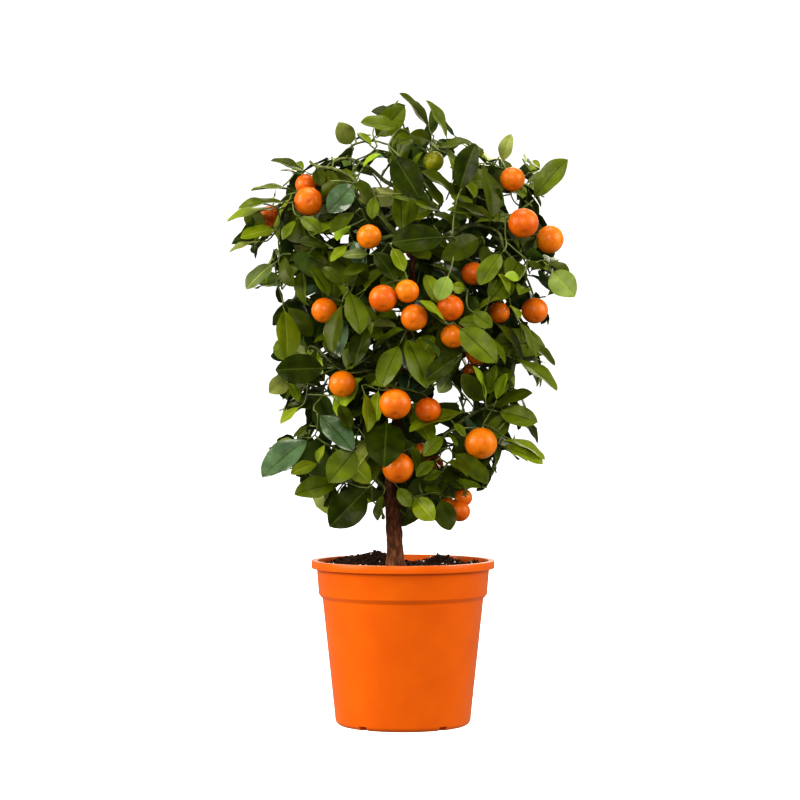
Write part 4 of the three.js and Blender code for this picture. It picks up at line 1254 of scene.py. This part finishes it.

# %% [markdown]
# The leaves that can be told apart from the front are given one by one: where each
# springs from and where its tip is in the view, how wide it looks and its tone.
# A leaf that looks narrow is turned on its midrib, and one that looks short
# leans out of the crown. Each is slid in or out until it clears what is there.

# %% Leaves given one by one
# Column and row of the base, column and row of the tip, width, tone, and depth
# as a share of the way to the crown's front.
SHOWN_LEAVES = [
    (308, 173, 271, 162, 9, "dark", 0.7),
    (297, 191, 251.5, 192, 4, "mid", 0.7),
    (289, 203, 239, 210, 10, "mid", 0.75),
    (279.5, 209, 228, 223, 9, "fresh", 0.7),
    (279, 230, 241, 239, 14, "fresh", 0.7),
    (264, 241.5, 230, 253, 6, "pale", 0.7),
    (276, 262, 247, 290, 17, "grey", 0.7),
    (352, 146, 339, 124.5, 20, "pale", 0.4),
    (401, 129, 360.5, 124, 16, "mid", 0.75),
    (373, 139, 405, 108, 25, "mid", 0.3),
    (318, 166.5, 321, 187, 14, "dark", 0.7),
    (355, 182, 328.6, 213.7, 25, "blue", 0.9),
    (357, 181, 368, 212, 14, "dark", 0.8),
    (374.5, 195, 372, 220, 13, "mid", 0.8),
    (357, 211, 331, 234, 14, "dark", 0.85),
    (298, 216, 322, 234, 14, "mid", 0.85),
    (297, 219, 283, 240.5, 10, "mid", 0.8),
    (330, 248, 298, 242, 11, "deep", 0.8),
    (371, 254.5, 343, 257, 11, "grey", 0.8),
    (371, 265, 344, 275, 12, "dark", 0.8),
    (349, 245, 331, 262, 10, "fresh", 0.8),
    (372, 249, 395, 281, 18, "deep", 0.85),
    (391, 246, 404, 272, 14, "fresh", 0.85),
    (449, 237, 391, 244, 29, "deep", 0.9),
    (431.5, 134, 399, 95, 11, "dark", 0.4),
    (448, 142, 425.5, 102, 11, "mid", 0.4),
    (432, 141, 410, 135, 16, "dark", 0.6),
    (434, 150, 471.6, 144, 10, "dark", 0.8),
    (391, 152, 420, 200, 30, "deep", 0.9),
    (419, 176, 441, 208, 11, "dark", 0.8),
    (459, 194, 475.5, 145, 24, "deep", 0.9),
    (484, 166.5, 492, 217.6, 19, "dark", 0.95),
    (459, 198, 421, 173, 12, "dark", 0.7),
    (502, 164, 511, 135, 14, "pale", 0.6),
    (532, 201, 567, 161, 23, "mid", 0.85),
    (491, 220, 451, 205, 10, "dark", 0.8),
    (487, 223, 444, 215, 9, "mid", 0.8),
    (503.5, 251, 479, 286, 20, "mid", 0.9),
    (484, 243, 486, 268, 13, "dark", 0.7),
    (449, 274, 438, 301, 19, "light", 0.9),
    (527, 260, 538, 270, 7, "dark", 0.8),
    (548, 262, 569, 273, 9, "dark", 0.8),
    (550, 270, 573, 298, 27, "light", 0.85),
    (465, 289, 450.6, 287, 12, "fresh", 0.8),
    (446, 322.5, 419, 301.5, 8, "fresh", 1.05),
    (471.6, 311, 492, 327.6, 16, "mid", 0.85),
    (456, 325, 496, 363, 28, "mid", 1.05),
    (517, 319, 535, 359, 10, "mid", 0.8),
    (525, 341, 554, 366, 9, "dark", 0.8),
    (511, 357, 556, 391, 13, "mid", 0.85),
    (497, 362, 490, 388, 10, "mid", 0.8),
    (496, 402, 507, 373.5, 11, "young", 0.8),
    (486, 405, 472, 366, 5, "young", 0.85),
    (484, 404, 460, 375, 20, "dark", 0.8),
    (450, 376, 438, 393, 17, "grey", 0.7),
    (459, 356, 426, 380, 20, "deep", 0.9),
    (401, 342, 382, 388, 23, "mid", 0.95),
    (402.6, 336.5, 425, 390, 25, "mid", 0.95),
    (470, 412, 409, 432, 12, "fresh", 0.85),
    (496, 411, 537, 422, 21, "mid", 0.85),
    (486, 409, 528, 393, 12, "dark", 0.75),
    (505, 437, 544, 460, 8, "fresh", 0.8),
    (502, 445, 542, 464, 14, "fresh", 0.85),
    (445, 435, 423, 456, 15, "mid", 0.8),
    (452.5, 422, 465, 437, 8, "mid", 0.8),
    (449, 435, 459, 449, 5, "mid", 0.8),
    (283, 305, 287, 361, 22, "fresh", 0.8),
    (329, 368, 276, 370, 30, "deep", 0.85),
    (289, 378, 270, 393, 19, "pale", 0.8),
    (287, 381, 299, 402, 9, "young", 0.8),
    (301, 406, 281, 424, 9, "fresh", 0.8),
    (348, 289, 360, 335, 22, "mid", 0.85),
    (343, 301, 334, 354, 17, "dark", 0.8),
    (369, 324, 355, 366, 20, "deep", 0.85),
    (325, 336, 331, 354, 10, "dark", 0.75),
    (306, 263, 328, 297, 12, "mid", 0.8),
    (363, 389, 367.5, 432, 12, "fresh", 0.85),
    (338, 402, 350, 430, 14, "dark", 0.85),
    # The next two leaves take the blue tone, whose blue-grey is partly painted sheen.
    (316.5, 412, 353.5, 451, 24, "blue", 0.9),
    (312, 437, 263, 477, 27, "blue", 0.85),
    (387, 419, 384, 467, 40, "deep", 0.85),
    (357, 447, 329, 482, 30, "mid", 0.9),
    (369, 487, 330, 526, 35, "deep", 0.85),
    (342, 483, 295, 494, 21, "mid", 0.8),
    (320, 463, 291, 474, 13, "fresh", 0.7),
    (384, 492, 378, 520.5, 9, "dark", 0.8),
    (397, 486, 411, 507, 14, "mid", 0.8),
    (413, 496, 434, 520, 22, "fresh", 0.85),
    (436.5, 460, 416, 476.5, 12, "mid", 0.85),
    (451, 451, 487, 484, 18, "dark", 0.85),
    (484, 487, 451, 486, 9, "young", 0.8),
    (440, 497, 450, 530, 22, "dark", 0.8),
]
SHOWN = {
    "usual_width": 0.5,
    "widest": 0.62,
    "lean": 1.04,
    "fold": 0.22,
    "bow": 0.05,
    "blunt": 0.25,
    "slides": (0, 4, -4, 8, -8, 12, -12, 16, -16, 22, 28, 34),
    "snap": 5,
    "most_turn": 1.3,
    "room": 1.8,
    "orange_room": 1.0,
    "wood_room": 0.5,
    "furthest_front": 121,
    "joint": 1.5,
    "straight": 5,
    "lane_share": 0.3,
    "lane_extra": 2,
}


def shown_leaf(row, slide):
    """The leaf that looks as a row says, slid by so much towards the back."""
    base_column, base_row, tip_column, tip_row, width, _, share = row
    base = at_view(base_column, base_row, 0)
    y = share * front_of_crown(base[0], base[2]) + slide
    base = at_view(base_column, base_row, y)
    chord = at_view(tip_column, tip_row, y) - base
    seen_length, seen_width = np.linalg.norm(chord), width * (VIEW["distance"] + y) / FOCAL_PIXELS
    length = max(seen_length * SHOWN["lean"], seen_width / SHOWN["widest"])
    chord[1] = -math.sqrt(length**2 - seen_length**2)
    heading = chord / length
    true_width = max(seen_width, SHOWN["usual_width"] * length)
    turn = min(math.acos(seen_width / true_width), SHOWN["most_turn"])
    toward = unit(np.array([0.0, -1.0, 0.0]) + heading * heading[1])
    aside = np.cross(heading, toward)
    if aside[2] < 0:
        aside = -aside
    return {
        "root": base,
        "heading": heading,
        "face": toward * math.cos(turn) + aside * math.sin(turn),
        "length": length,
        "width": true_width,
        "bow": SHOWN["bow"],
        "fold": SHOWN["fold"],
        "blunt": SHOWN["blunt"],
        "phase": dice.uniform(0, math.tau),
    }


def slid_leaf(row):
    """The shown leaf at the first depth where it clears the oranges, the wood and other leaves."""
    best, most = None, -math.inf
    for slide in SHOWN["slides"]:
        leaf = shown_leaf(row, slide)
        points = points_of(leaf, LEAF_TRIAL)
        spare = min(
            oranges.gaps(points).min() - SHOWN["orange_room"],
            blades.gaps(points).min() - SHOWN["room"],
            wood.gaps(points[PAST_FIRST_ROW:]).min() - SHOWN["wood_room"],
            points[:, 1].min() + SHOWN["furthest_front"],
        )
        if spare > 0:
            return leaf
        if spare > most:
            best, most = leaf, spare
    return best


for row in SHOWN_LEAVES:
    leaf = slid_leaf(row)
    away = np.linalg.norm(wood.points - leaf["root"], axis=1)
    if away.min() < SHOWN["snap"]:
        leaf["root"] = wood.points[np.argmin(away)]
    else:
        joint, straight_from = leaf["heading"] * SHOWN["joint"], leaf["heading"] * SHOWN["straight"]
        grow_shoot(leaf["root"] + joint, arriving=leaf["root"] - straight_from)
    width, tone = row[4:6]
    add_leaf(leaf, tone, fine_leaf)
    lane_width = min(width, SHOWN["usual_width"] * leaf["length"])
    midrib = points_of(leaf, LEAF_TRIAL)[MIDRIB_TRIAL]
    lanes.add(midrib, SHOWN["lane_share"] * lane_width + SHOWN["lane_extra"])
print(len(SHOWN_LEAVES), "leaves set by hand")

# %% [markdown]
# The rest of the crown is grown by the frame's own rule. A shoot goes to the
# emptiest of some rolled places. Leaves stand along it about a centimetre
# apart, each turned on by 2.4 radians from the last, which is the golden angle
# that real shoots use. Of several rolled poses a leaf takes the one with the
# most room, and a leaf that would leave the crown, shut a lane of sky or touch
# something isn't grown.

# %% Grown shoots and leaves
# Worth is what a place's room counts for on the crown's axis, and how much more at its edge.
GROWTH = {
    "shoots": 400,
    "places": 90,
    "least_room": 10.5,
    "longest": 70,
    "misses": 40,
    "edge": 0.93,
    "past_wood": 4,
    "worth": (0.6, 0.4),
}
LEAF = {
    "length": (36, 64),
    "width_share": (0.44, 0.56),
    "every": 9.5,
    "bare_share": 0.25,
    "behind": 3,
    "turn": 2.4,
    "poses": 18,
    "bow": (0.02, 0.12),
    "fold": (0.1, 0.45),
    "blunt": (0, 0.35),
    "shrink": 0.78,
    "least_length": 22,
    "room": 1.7,
    "orange_room": 1.2,
    "wood_room": 0.8,
    "stalk_run": 0.3,
    "reach": 30,
}
# Ranges from which a leaf's pose is rolled. Lengthwise and aside are for a leaf at the tip of its
# shoot and for any other, and rise is how much a leaf points up at three heights.
POSE = {
    "swing": 0.9,
    "lengthwise": (1.0, 0.4),
    "aside": (0.35, 0.85),
    "outward": (0, 0.6),
    "rise": ([220, 400, 620], [-0.75, -0.45, 0.45]),
    "nod": 0.35,
    "face_out": (0.3, 1),
    "face_roll": 0.3,
    "face_up": (0.3, 1),
}
# How often a shoot has leaves of each tone.
TONE_CHANCES = {
    "deep": 0.1,
    "dark": 0.26,
    "mid": 0.32,
    "fresh": 0.18,
    "young": 0.06,
    "pale": 0.04,
    # The blue tone's colour is dark green with painted sheen.
    "blue": 0.04,
}


def rolled_poses(root, along, turn, at_tip, length):
    """Poses that a leaf may take at a place on its shoot."""
    count = LEAF["poses"]
    sideways = unit(np.cross(along, (0.0, 0.0, 1.0) if abs(along[2]) < 0.9 else (1.0, 0.0, 0.0)))
    upward = np.cross(sideways, along)
    angle = turn + dice.uniform(-POSE["swing"], POSE["swing"], (count, 1))
    aside = sideways * np.cos(angle) + upward * np.sin(angle)
    outward = unit(np.array([root[0], root[1], 0.0]) + 1e-6)
    place_on_shoot = 0 if at_tip else 1
    heading = along * POSE["lengthwise"][place_on_shoot] + aside * POSE["aside"][place_on_shoot]
    heading = heading + outward * dice.uniform(*POSE["outward"], (count, 1))
    heading[:, 2] += np.interp(root[2], *POSE["rise"]) + dice.uniform(-POSE["nod"], POSE["nod"], count)
    face = outward * dice.uniform(*POSE["face_out"], (count, 1))
    face = face + dice.uniform(-POSE["face_roll"], POSE["face_roll"], (count, 3))
    face[:, 2] += dice.uniform(*POSE["face_up"], count)
    return {
        "root": np.broadcast_to(root, (count, 3)),
        "heading": unit(heading),
        "face": unit(face),
        "length": np.full(count, length),
        "width": length * dice.uniform(*LEAF["width_share"], count),
        "bow": dice.uniform(*LEAF["bow"], count),
        "fold": dice.uniform(*LEAF["fold"], count),
        "blunt": dice.uniform(*LEAF["blunt"], count),
        "phase": dice.uniform(0, math.tau, count),
    }


def roomiest(poses):
    """The pose with the most room, or none where no pose fits."""
    blade = blade_points(poses, LEAF_TRIAL)
    points = blade.reshape(-1, 3)
    fits = (place_in_crown(points) < 1) & (points[:, 2] > CROWN[0][0]) & (points[:, 2] < CROWN[-1][0])
    fits &= oranges.gaps(points) > LEAF["orange_room"]
    fits = fits.reshape(blade.shape[:2])
    clear_of_wood = wood.gaps(points).reshape(blade.shape[:2]) > LEAF["wood_room"]
    fits = (fits & (clear_of_wood | (LEAF_TRIAL[:, 1] < LEAF["stalk_run"]))).all(axis=1)
    if fits.any():
        seen = blade_points({key: values[fits] for key, values in poses.items()}, LANE_TRIAL)
        fits[fits] = ~lanes.block(seen.reshape(-1, 3)).reshape(seen.shape[:2]).any(axis=1)
    room = blades.gaps(points, LEAF["reach"]).reshape(blade.shape[:2]).min(axis=1)
    room = np.where(fits, room, -1)
    best = int(np.argmax(room))
    return {key: values[best] for key, values in poses.items()} if room[best] > LEAF["room"] else None


def dress(line):
    """Grows leaves along a shoot, from its tip back. Returns how far out the first of them is."""
    names, chances = list(TONE_CHANCES), np.array(list(TONE_CHANCES.values()))
    tone = names[dice.choice(len(names), p=chances / chances.sum())]
    along = distances_along(line)
    stops = np.arange(along[-1], along[-1] * LEAF["bare_share"], -LEAF["every"])
    turn = dice.uniform(0, math.tau)
    furthest = 0
    for i, stop in enumerate(stops):
        root = points_at(stop, along, line)
        behind = points_at(stop - LEAF["behind"], along, line)
        direction = unit(root - behind) if stop > LEAF["behind"] else unit(line[1] - line[0])
        length = dice.uniform(*LEAF["length"])
        leaf = None
        while leaf is None and length > LEAF["least_length"]:
            leaf = roomiest(rolled_poses(root, direction, turn + i * LEAF["turn"], i == 0, length))
            length *= LEAF["shrink"]
        if leaf is not None:
            add_leaf(leaf, tone, plain_leaf)
            furthest = max(furthest, stop)
    return furthest


def grow_leafy_shoot(place):
    """Grows a shoot with leaves, and cuts it off where its last leaf stands."""
    grow_shoot(place)
    line, radii, material = shoots_grown.pop()
    furthest = dress(line)
    wood.drop_last(len(line))
    if furthest:
        kept = max(2, int(np.searchsorted(distances_along(line), furthest)) + 1)
        add_shoot(line[:kept], radii[:kept], material)
    return furthest > 0


def emptiest_place():
    """The emptiest of some rolled places in the crown, and how empty it is."""
    places = rolled_places(GROWTH["places"])
    places = places[(place_in_crown(places) < GROWTH["edge"]) & ~lanes.block(places)]
    if not len(places):
        return None, 0
    past_wood = wood.gaps(places) + GROWTH["past_wood"]
    free = np.minimum(np.minimum(blades.gaps(places), oranges.gaps(places)), past_wood)
    at_axis, at_edge = GROWTH["worth"]
    best = np.argmax(free * (at_axis + at_edge * place_in_crown(places)))
    return places[best], free[best]


missed = 0
shoots = 0
while shoots < GROWTH["shoots"] and missed < GROWTH["misses"]:
    place, free = emptiest_place()
    if place is None or free < GROWTH["least_room"]:
        missed += 1
        continue
    pick = start_towards(place)
    away = np.linalg.norm(place - wood.points[pick])
    if away > GROWTH["longest"]:
        place = wood.points[pick] + (place - wood.points[pick]) * GROWTH["longest"] / away
    if grow_leafy_shoot(place):
        shoots += 1
    else:
        missed += 1
print(shoots, "shoots grown, and", len(leaves_grown), "leaves in all")

# %% [markdown]
# Every leaf and twig joins the piece of its level, and each piece stands for
# that level's masses in the frame.

# %% Leaf and twig pieces
# Upper skin's two colours, its roughness and its gloss.
TONES = {
    "deep": ("#1A2400", "#283400", 0.34, 0.07),
    "dark": ("#2E3800", "#3E4802", 0.34, 0.1),
    "mid": ("#445206", "#54640A", 0.36, 0.14),
    "fresh": ("#606E0A", "#728212", 0.38, 0.16),
    "young": ("#6C8610", "#809A20", 0.4, 0.2),
    "light": ("#5E7428", "#708638", 0.45, 0.25),
    "pale": ("#6E7834", "#828C44", 0.5, 0.25),
    "grey": ("#4A582C", "#5C6A3A", 0.45, 0.25),
    # The blue tone is a dark glossy green with painted sheen: its blue-grey stands for the pale reflection on
    # such leaves.
    "blue": ("#34492E", "#486240", 0.25, 0.5),
}
MIDRIBS = {"midrib of a dark leaf": ("#2E3C08", "#38480E"), "midrib of a light leaf": ("#788A30", "#889A40")}
UNDERSIDE = ("#42581C", "#546A28")
DARK_TONES = ("deep", "dark", "mid", "blue")


def leaf_material(name, low, high, roughness, gloss=0.2):
    """A leathery leaf skin: waxy, faintly quilted between its veins, and of uneven green."""
    material, shader = new_material(name, roughness, Specular_IOR_Level=gloss)
    colour_between(material, shader, cloud_of(material, size=14), [(0.35, low), (0.65, high)])
    raise_by(material, shader, cloud_of(material, size=6, detail=1), depth=0.5)
    return material


leaf_materials = [leaf_material(name + " leaf", *colours) for name, colours in TONES.items()]
leaf_materials += [leaf_material(name, low, high, 0.5, 0.1) for name, (low, high) in MIDRIBS.items()]
leaf_materials.append(leaf_material("leaf underside", *UNDERSIDE, 0.6))


def skins_of(tone):
    """Material numbers of a leaf's blade, midrib and underside."""
    midrib = len(TONES) + (0 if tone in DARK_TONES else 1)
    return np.array([list(TONES).index(tone), midrib, len(TONES) + len(MIDRIBS)])


foliage_nodes = {level: [] for level in LEVELS}
for name, heart in zip(mass_names, hearts):
    foliage_nodes[level_of(heart)].append("foliage_" + name)

leaf_parts = {level: [] for level in LEVELS}
for leaf, tone, (form, faces, kinds) in leaves_grown:
    points = points_of(leaf, form)
    leaf_parts[level_of(points.mean(axis=0))].append((points, faces, skins_of(tone)[kinds]))

for level in LEVELS:
    mesh = joined_mesh("leaves_" + level, leaf_parts[level])
    mesh.set_sharp_from_angle(angle=math.radians(75))
    new_piece("leaves_" + level, mesh, leaf_materials, foliage_nodes[level])

# %% [markdown]
# A calamondin is a small orange, a little flatter than a ball, with a dimple at
# the stalk and a faint navel. Its peel is waxy and pored. A small green-brown
# calyx with five lobes holds it to its stalk.

# %% Orange and calyx
ORANGE = {"flat": 0.94, "stalk_dimple": 0.07, "stalk_width": 0.2, "navel": 0.08, "navel_width": 0.15}
CALYX = {
    "radius": 3.0,
    "thick": 1.4,
    "top_share": 0.55,
    "lobes": 5,
    "lobe_share": 0.3,
    "sink": 0.93,
    "segments": 30,
}
# Numbers of the peels, in the order in which they are made below.
RIPE_PEELS = (0, 1, 2)
UNRIPE_PEELS = (3,)
PORE_SIZE = 1.5


def orange_template():
    """An orange of radius 1, its stalk end up."""
    shape = bmesh.new()
    bmesh.ops.create_uvsphere(shape, u_segments=36, v_segments=24, radius=1)
    for vert in shape.verts:
        out = math.hypot(vert.co.x, vert.co.y)
        dimple, reach, way = (
            (ORANGE["stalk_dimple"], ORANGE["stalk_width"], -1)
            if vert.co.z > 0
            else (ORANGE["navel"], ORANGE["navel_width"], 1)
        )
        vert.co.z = vert.co.z * ORANGE["flat"] + way * dimple * math.exp(-((out / reach) ** 2))
    return template_of(shape)


def calyx_template():
    """A calyx of radius 1 with round lobes."""
    shape = bmesh.new()
    bmesh.ops.create_cone(
        shape,
        cap_ends=True,
        segments=CALYX["segments"],
        radius1=1,
        radius2=CALYX["top_share"],
        depth=CALYX["thick"] / CALYX["radius"],
    )
    for vert in shape.verts:
        lobe = 1 + CALYX["lobe_share"] * math.cos(CALYX["lobes"] * math.atan2(vert.co.y, vert.co.x))
        vert.co.x *= lobe
        vert.co.y *= lobe
    return template_of(shape)


def standing_on(way):
    """A turn that takes straight up to a direction, as rows."""
    turn = Vector((0, 0, 1)).rotation_difference(Vector(way)).to_matrix()
    return np.array(turn).T


orange_points, orange_faces = orange_template()
calyx_points, calyx_faces = calyx_template()
orange_parts = {level: [] for level in LEVELS}
for group, peel_numbers in ((ORANGES + SHADED_ORANGES + dealt, RIPE_PEELS), (UNRIPE, UNRIPE_PEELS)):
    for number, (middle, radius, stalk) in enumerate(group):
        middle = np.array(middle, dtype=float)
        way = unit(np.array(stalk, dtype=float))
        turn = standing_on(way)
        level = level_of(middle)
        material = peel_numbers[number % len(peel_numbers)]
        ball = whole(middle + orange_points @ turn * radius, orange_faces, material)
        orange_parts[level].append(ball)
        collar = middle + way * radius * CALYX["sink"]
        calyx = collar + (calyx_points * CALYX["radius"]) @ turn
        twig_parts[level].append(whole(calyx, calyx_faces, 2))
print("an orange has", len(orange_faces), "faces")

# %% [markdown]
# Citrus peel is waxy: a clear, even gloss over a skin with round oil glands
# about a millimetre apart, which show as small pits. Voronoi cells give pits at
# that spacing. Light goes a little way into the peel, which warms its shadows.

# %% Waxy peel and calyx
PEELS = {
    "ripe peel": ("#C25E00", "#CE6E00"),
    "deep ripe peel": ("#BC5400", "#C86400"),
    "light ripe peel": ("#C86800", "#D47A02"),
    "unripe peel": ("#6E7C0C", "#94941A"),
}


def peel(name, low, high):
    """Waxy pored citrus peel."""
    material, shader = new_material(
        name, 0.34, Specular_IOR_Level=0.3, Subsurface_Weight=0.12, Subsurface_Scale=0.003
    )
    shader.inputs["Subsurface Radius"].default_value = (1.0, 0.4, 0.1)
    colour_between(material, shader, cloud_of(material, size=12), [(0.35, low), (0.65, high)])
    place = add_node(material, "ShaderNodeTexCoord", {})
    pore_scale = 1 / (PORE_SIZE * MM)
    pores = add_node(
        material, "ShaderNodeTexVoronoi", {"Vector": place.outputs["Object"], "Scale": pore_scale}
    )
    raise_by(material, shader, pores.outputs["Distance"], depth=0.15)
    return material


peels = [peel(name, *colours) for name, colours in PEELS.items()]
for line, radii, material in shoots_grown:
    twig_parts[level_of(line[-1])].append(whole(*tube_along(line, radii, TUBE_SIDES["shoot"]), material))

calyx_skin, shader = new_material("dry green calyx", 0.7)
colour_between(
    calyx_skin, shader, cloud_of(calyx_skin, size=3), [(0.35, "#5B4A22"), (0.55, "#7A7338"), (0.7, "#8F8C52")]
)
raise_by(calyx_skin, shader, cloud_of(calyx_skin, size=1.2), depth=0.3)

for level in LEVELS:
    oranges_mesh = joined_mesh("oranges_" + level, orange_parts[level])
    new_piece("oranges_" + level, oranges_mesh, peels, foliage_nodes[level])
    twigs_mesh = joined_mesh("twigs_" + level, twig_parts[level])
    twig_skins = [green_wood, young_bark, calyx_skin]
    new_piece("twigs_" + level, twigs_mesh, twig_skins, foliage_nodes[level])

# %% [markdown]
# The floor is wide, pale and matt, and glows faintly so that it stays as white
# as the background. Two large soft lights stand at the sides, the left one
# stronger, a smaller one in front gives the oranges their highlights, and weak
# ones above and behind fill in. The world is white to look at but dim as a
# light, so the crown stays dark inside.

# %% Floor and light
FLOOR_SIZE = 60000
FLOOR_GLOW = 0.78
SKY_LIGHT = 0.34
LAMP_COLOUR = "#FFF4E6"
LIT_POINT = (0, 0, 330)
LIGHTS = {
    "left": {"at": (-2100, -800, 1100), "size": 1500, "power": 78},
    "right": {"at": (2100, -750, 1100), "size": 1500, "power": 50},
    "front": {"at": (-150, -2400, 1000), "size": 700, "power": 26},
    "top": {"at": (0, -200, 2400), "size": 1200, "power": 34},
    "back": {"at": (400, 2300, 1500), "size": 1500, "power": 30},
}

floor_shape = bmesh.new()
bmesh.ops.create_grid(floor_shape, x_segments=1, y_segments=1, size=FLOOR_SIZE / 2)
floor = add_object("floor", mesh_from(floor_shape, "floor"))
paper, shader = new_material("matt white paper", 0.95, Specular_IOR_Level=0.0, Emission_Strength=FLOOR_GLOW)
shader.inputs["Emission Color"].default_value = linear("#FFFFFF")
colour_between(paper, shader, cloud_of(paper, size=900), [(0.3, "#F6F6F5"), (0.7, "#FAFAFA")])
floor.data.materials.append(paper)
# The floor's glow is for the eye alone, and throws no light up at the plant.
floor.visible_diffuse = False
floor.visible_glossy = False

for name, spec in LIGHTS.items():
    lamp = bpy.data.lights.new(name, "AREA")
    lamp.size = spec["size"] * MM
    lamp.energy = spec["power"]
    lamp.color = linear(LAMP_COLOUR)[:3]
    light = add_object(name, lamp)
    light.location = Vector(spec["at"]) * MM
    aim = Vector(LIT_POINT) * MM - light.location
    light.rotation_euler = aim.to_track_quat("-Z", "Y").to_euler()

world = bpy.data.worlds.new("white studio")
world.use_nodes = True
world.node_tree.nodes["Background"].inputs["Color"].default_value = linear("#FFFFFF")
seen_as = add_node(world, "ShaderNodeLightPath", {}).outputs["Is Camera Ray"]
strength = add_node(world, "ShaderNodeMapRange", {"Value": seen_as, "To Min": SKY_LIGHT, "To Max": 1.0})
world.node_tree.links.new(
    strength.outputs["Result"], world.node_tree.nodes["Background"].inputs["Strength"]
)
bpy.context.scene.world = world
bpy.context.scene.view_settings.view_transform = "Standard"
bpy.context.scene.view_settings.look = "Medium High Contrast"
print(len(LIGHTS), "lights and a white world")
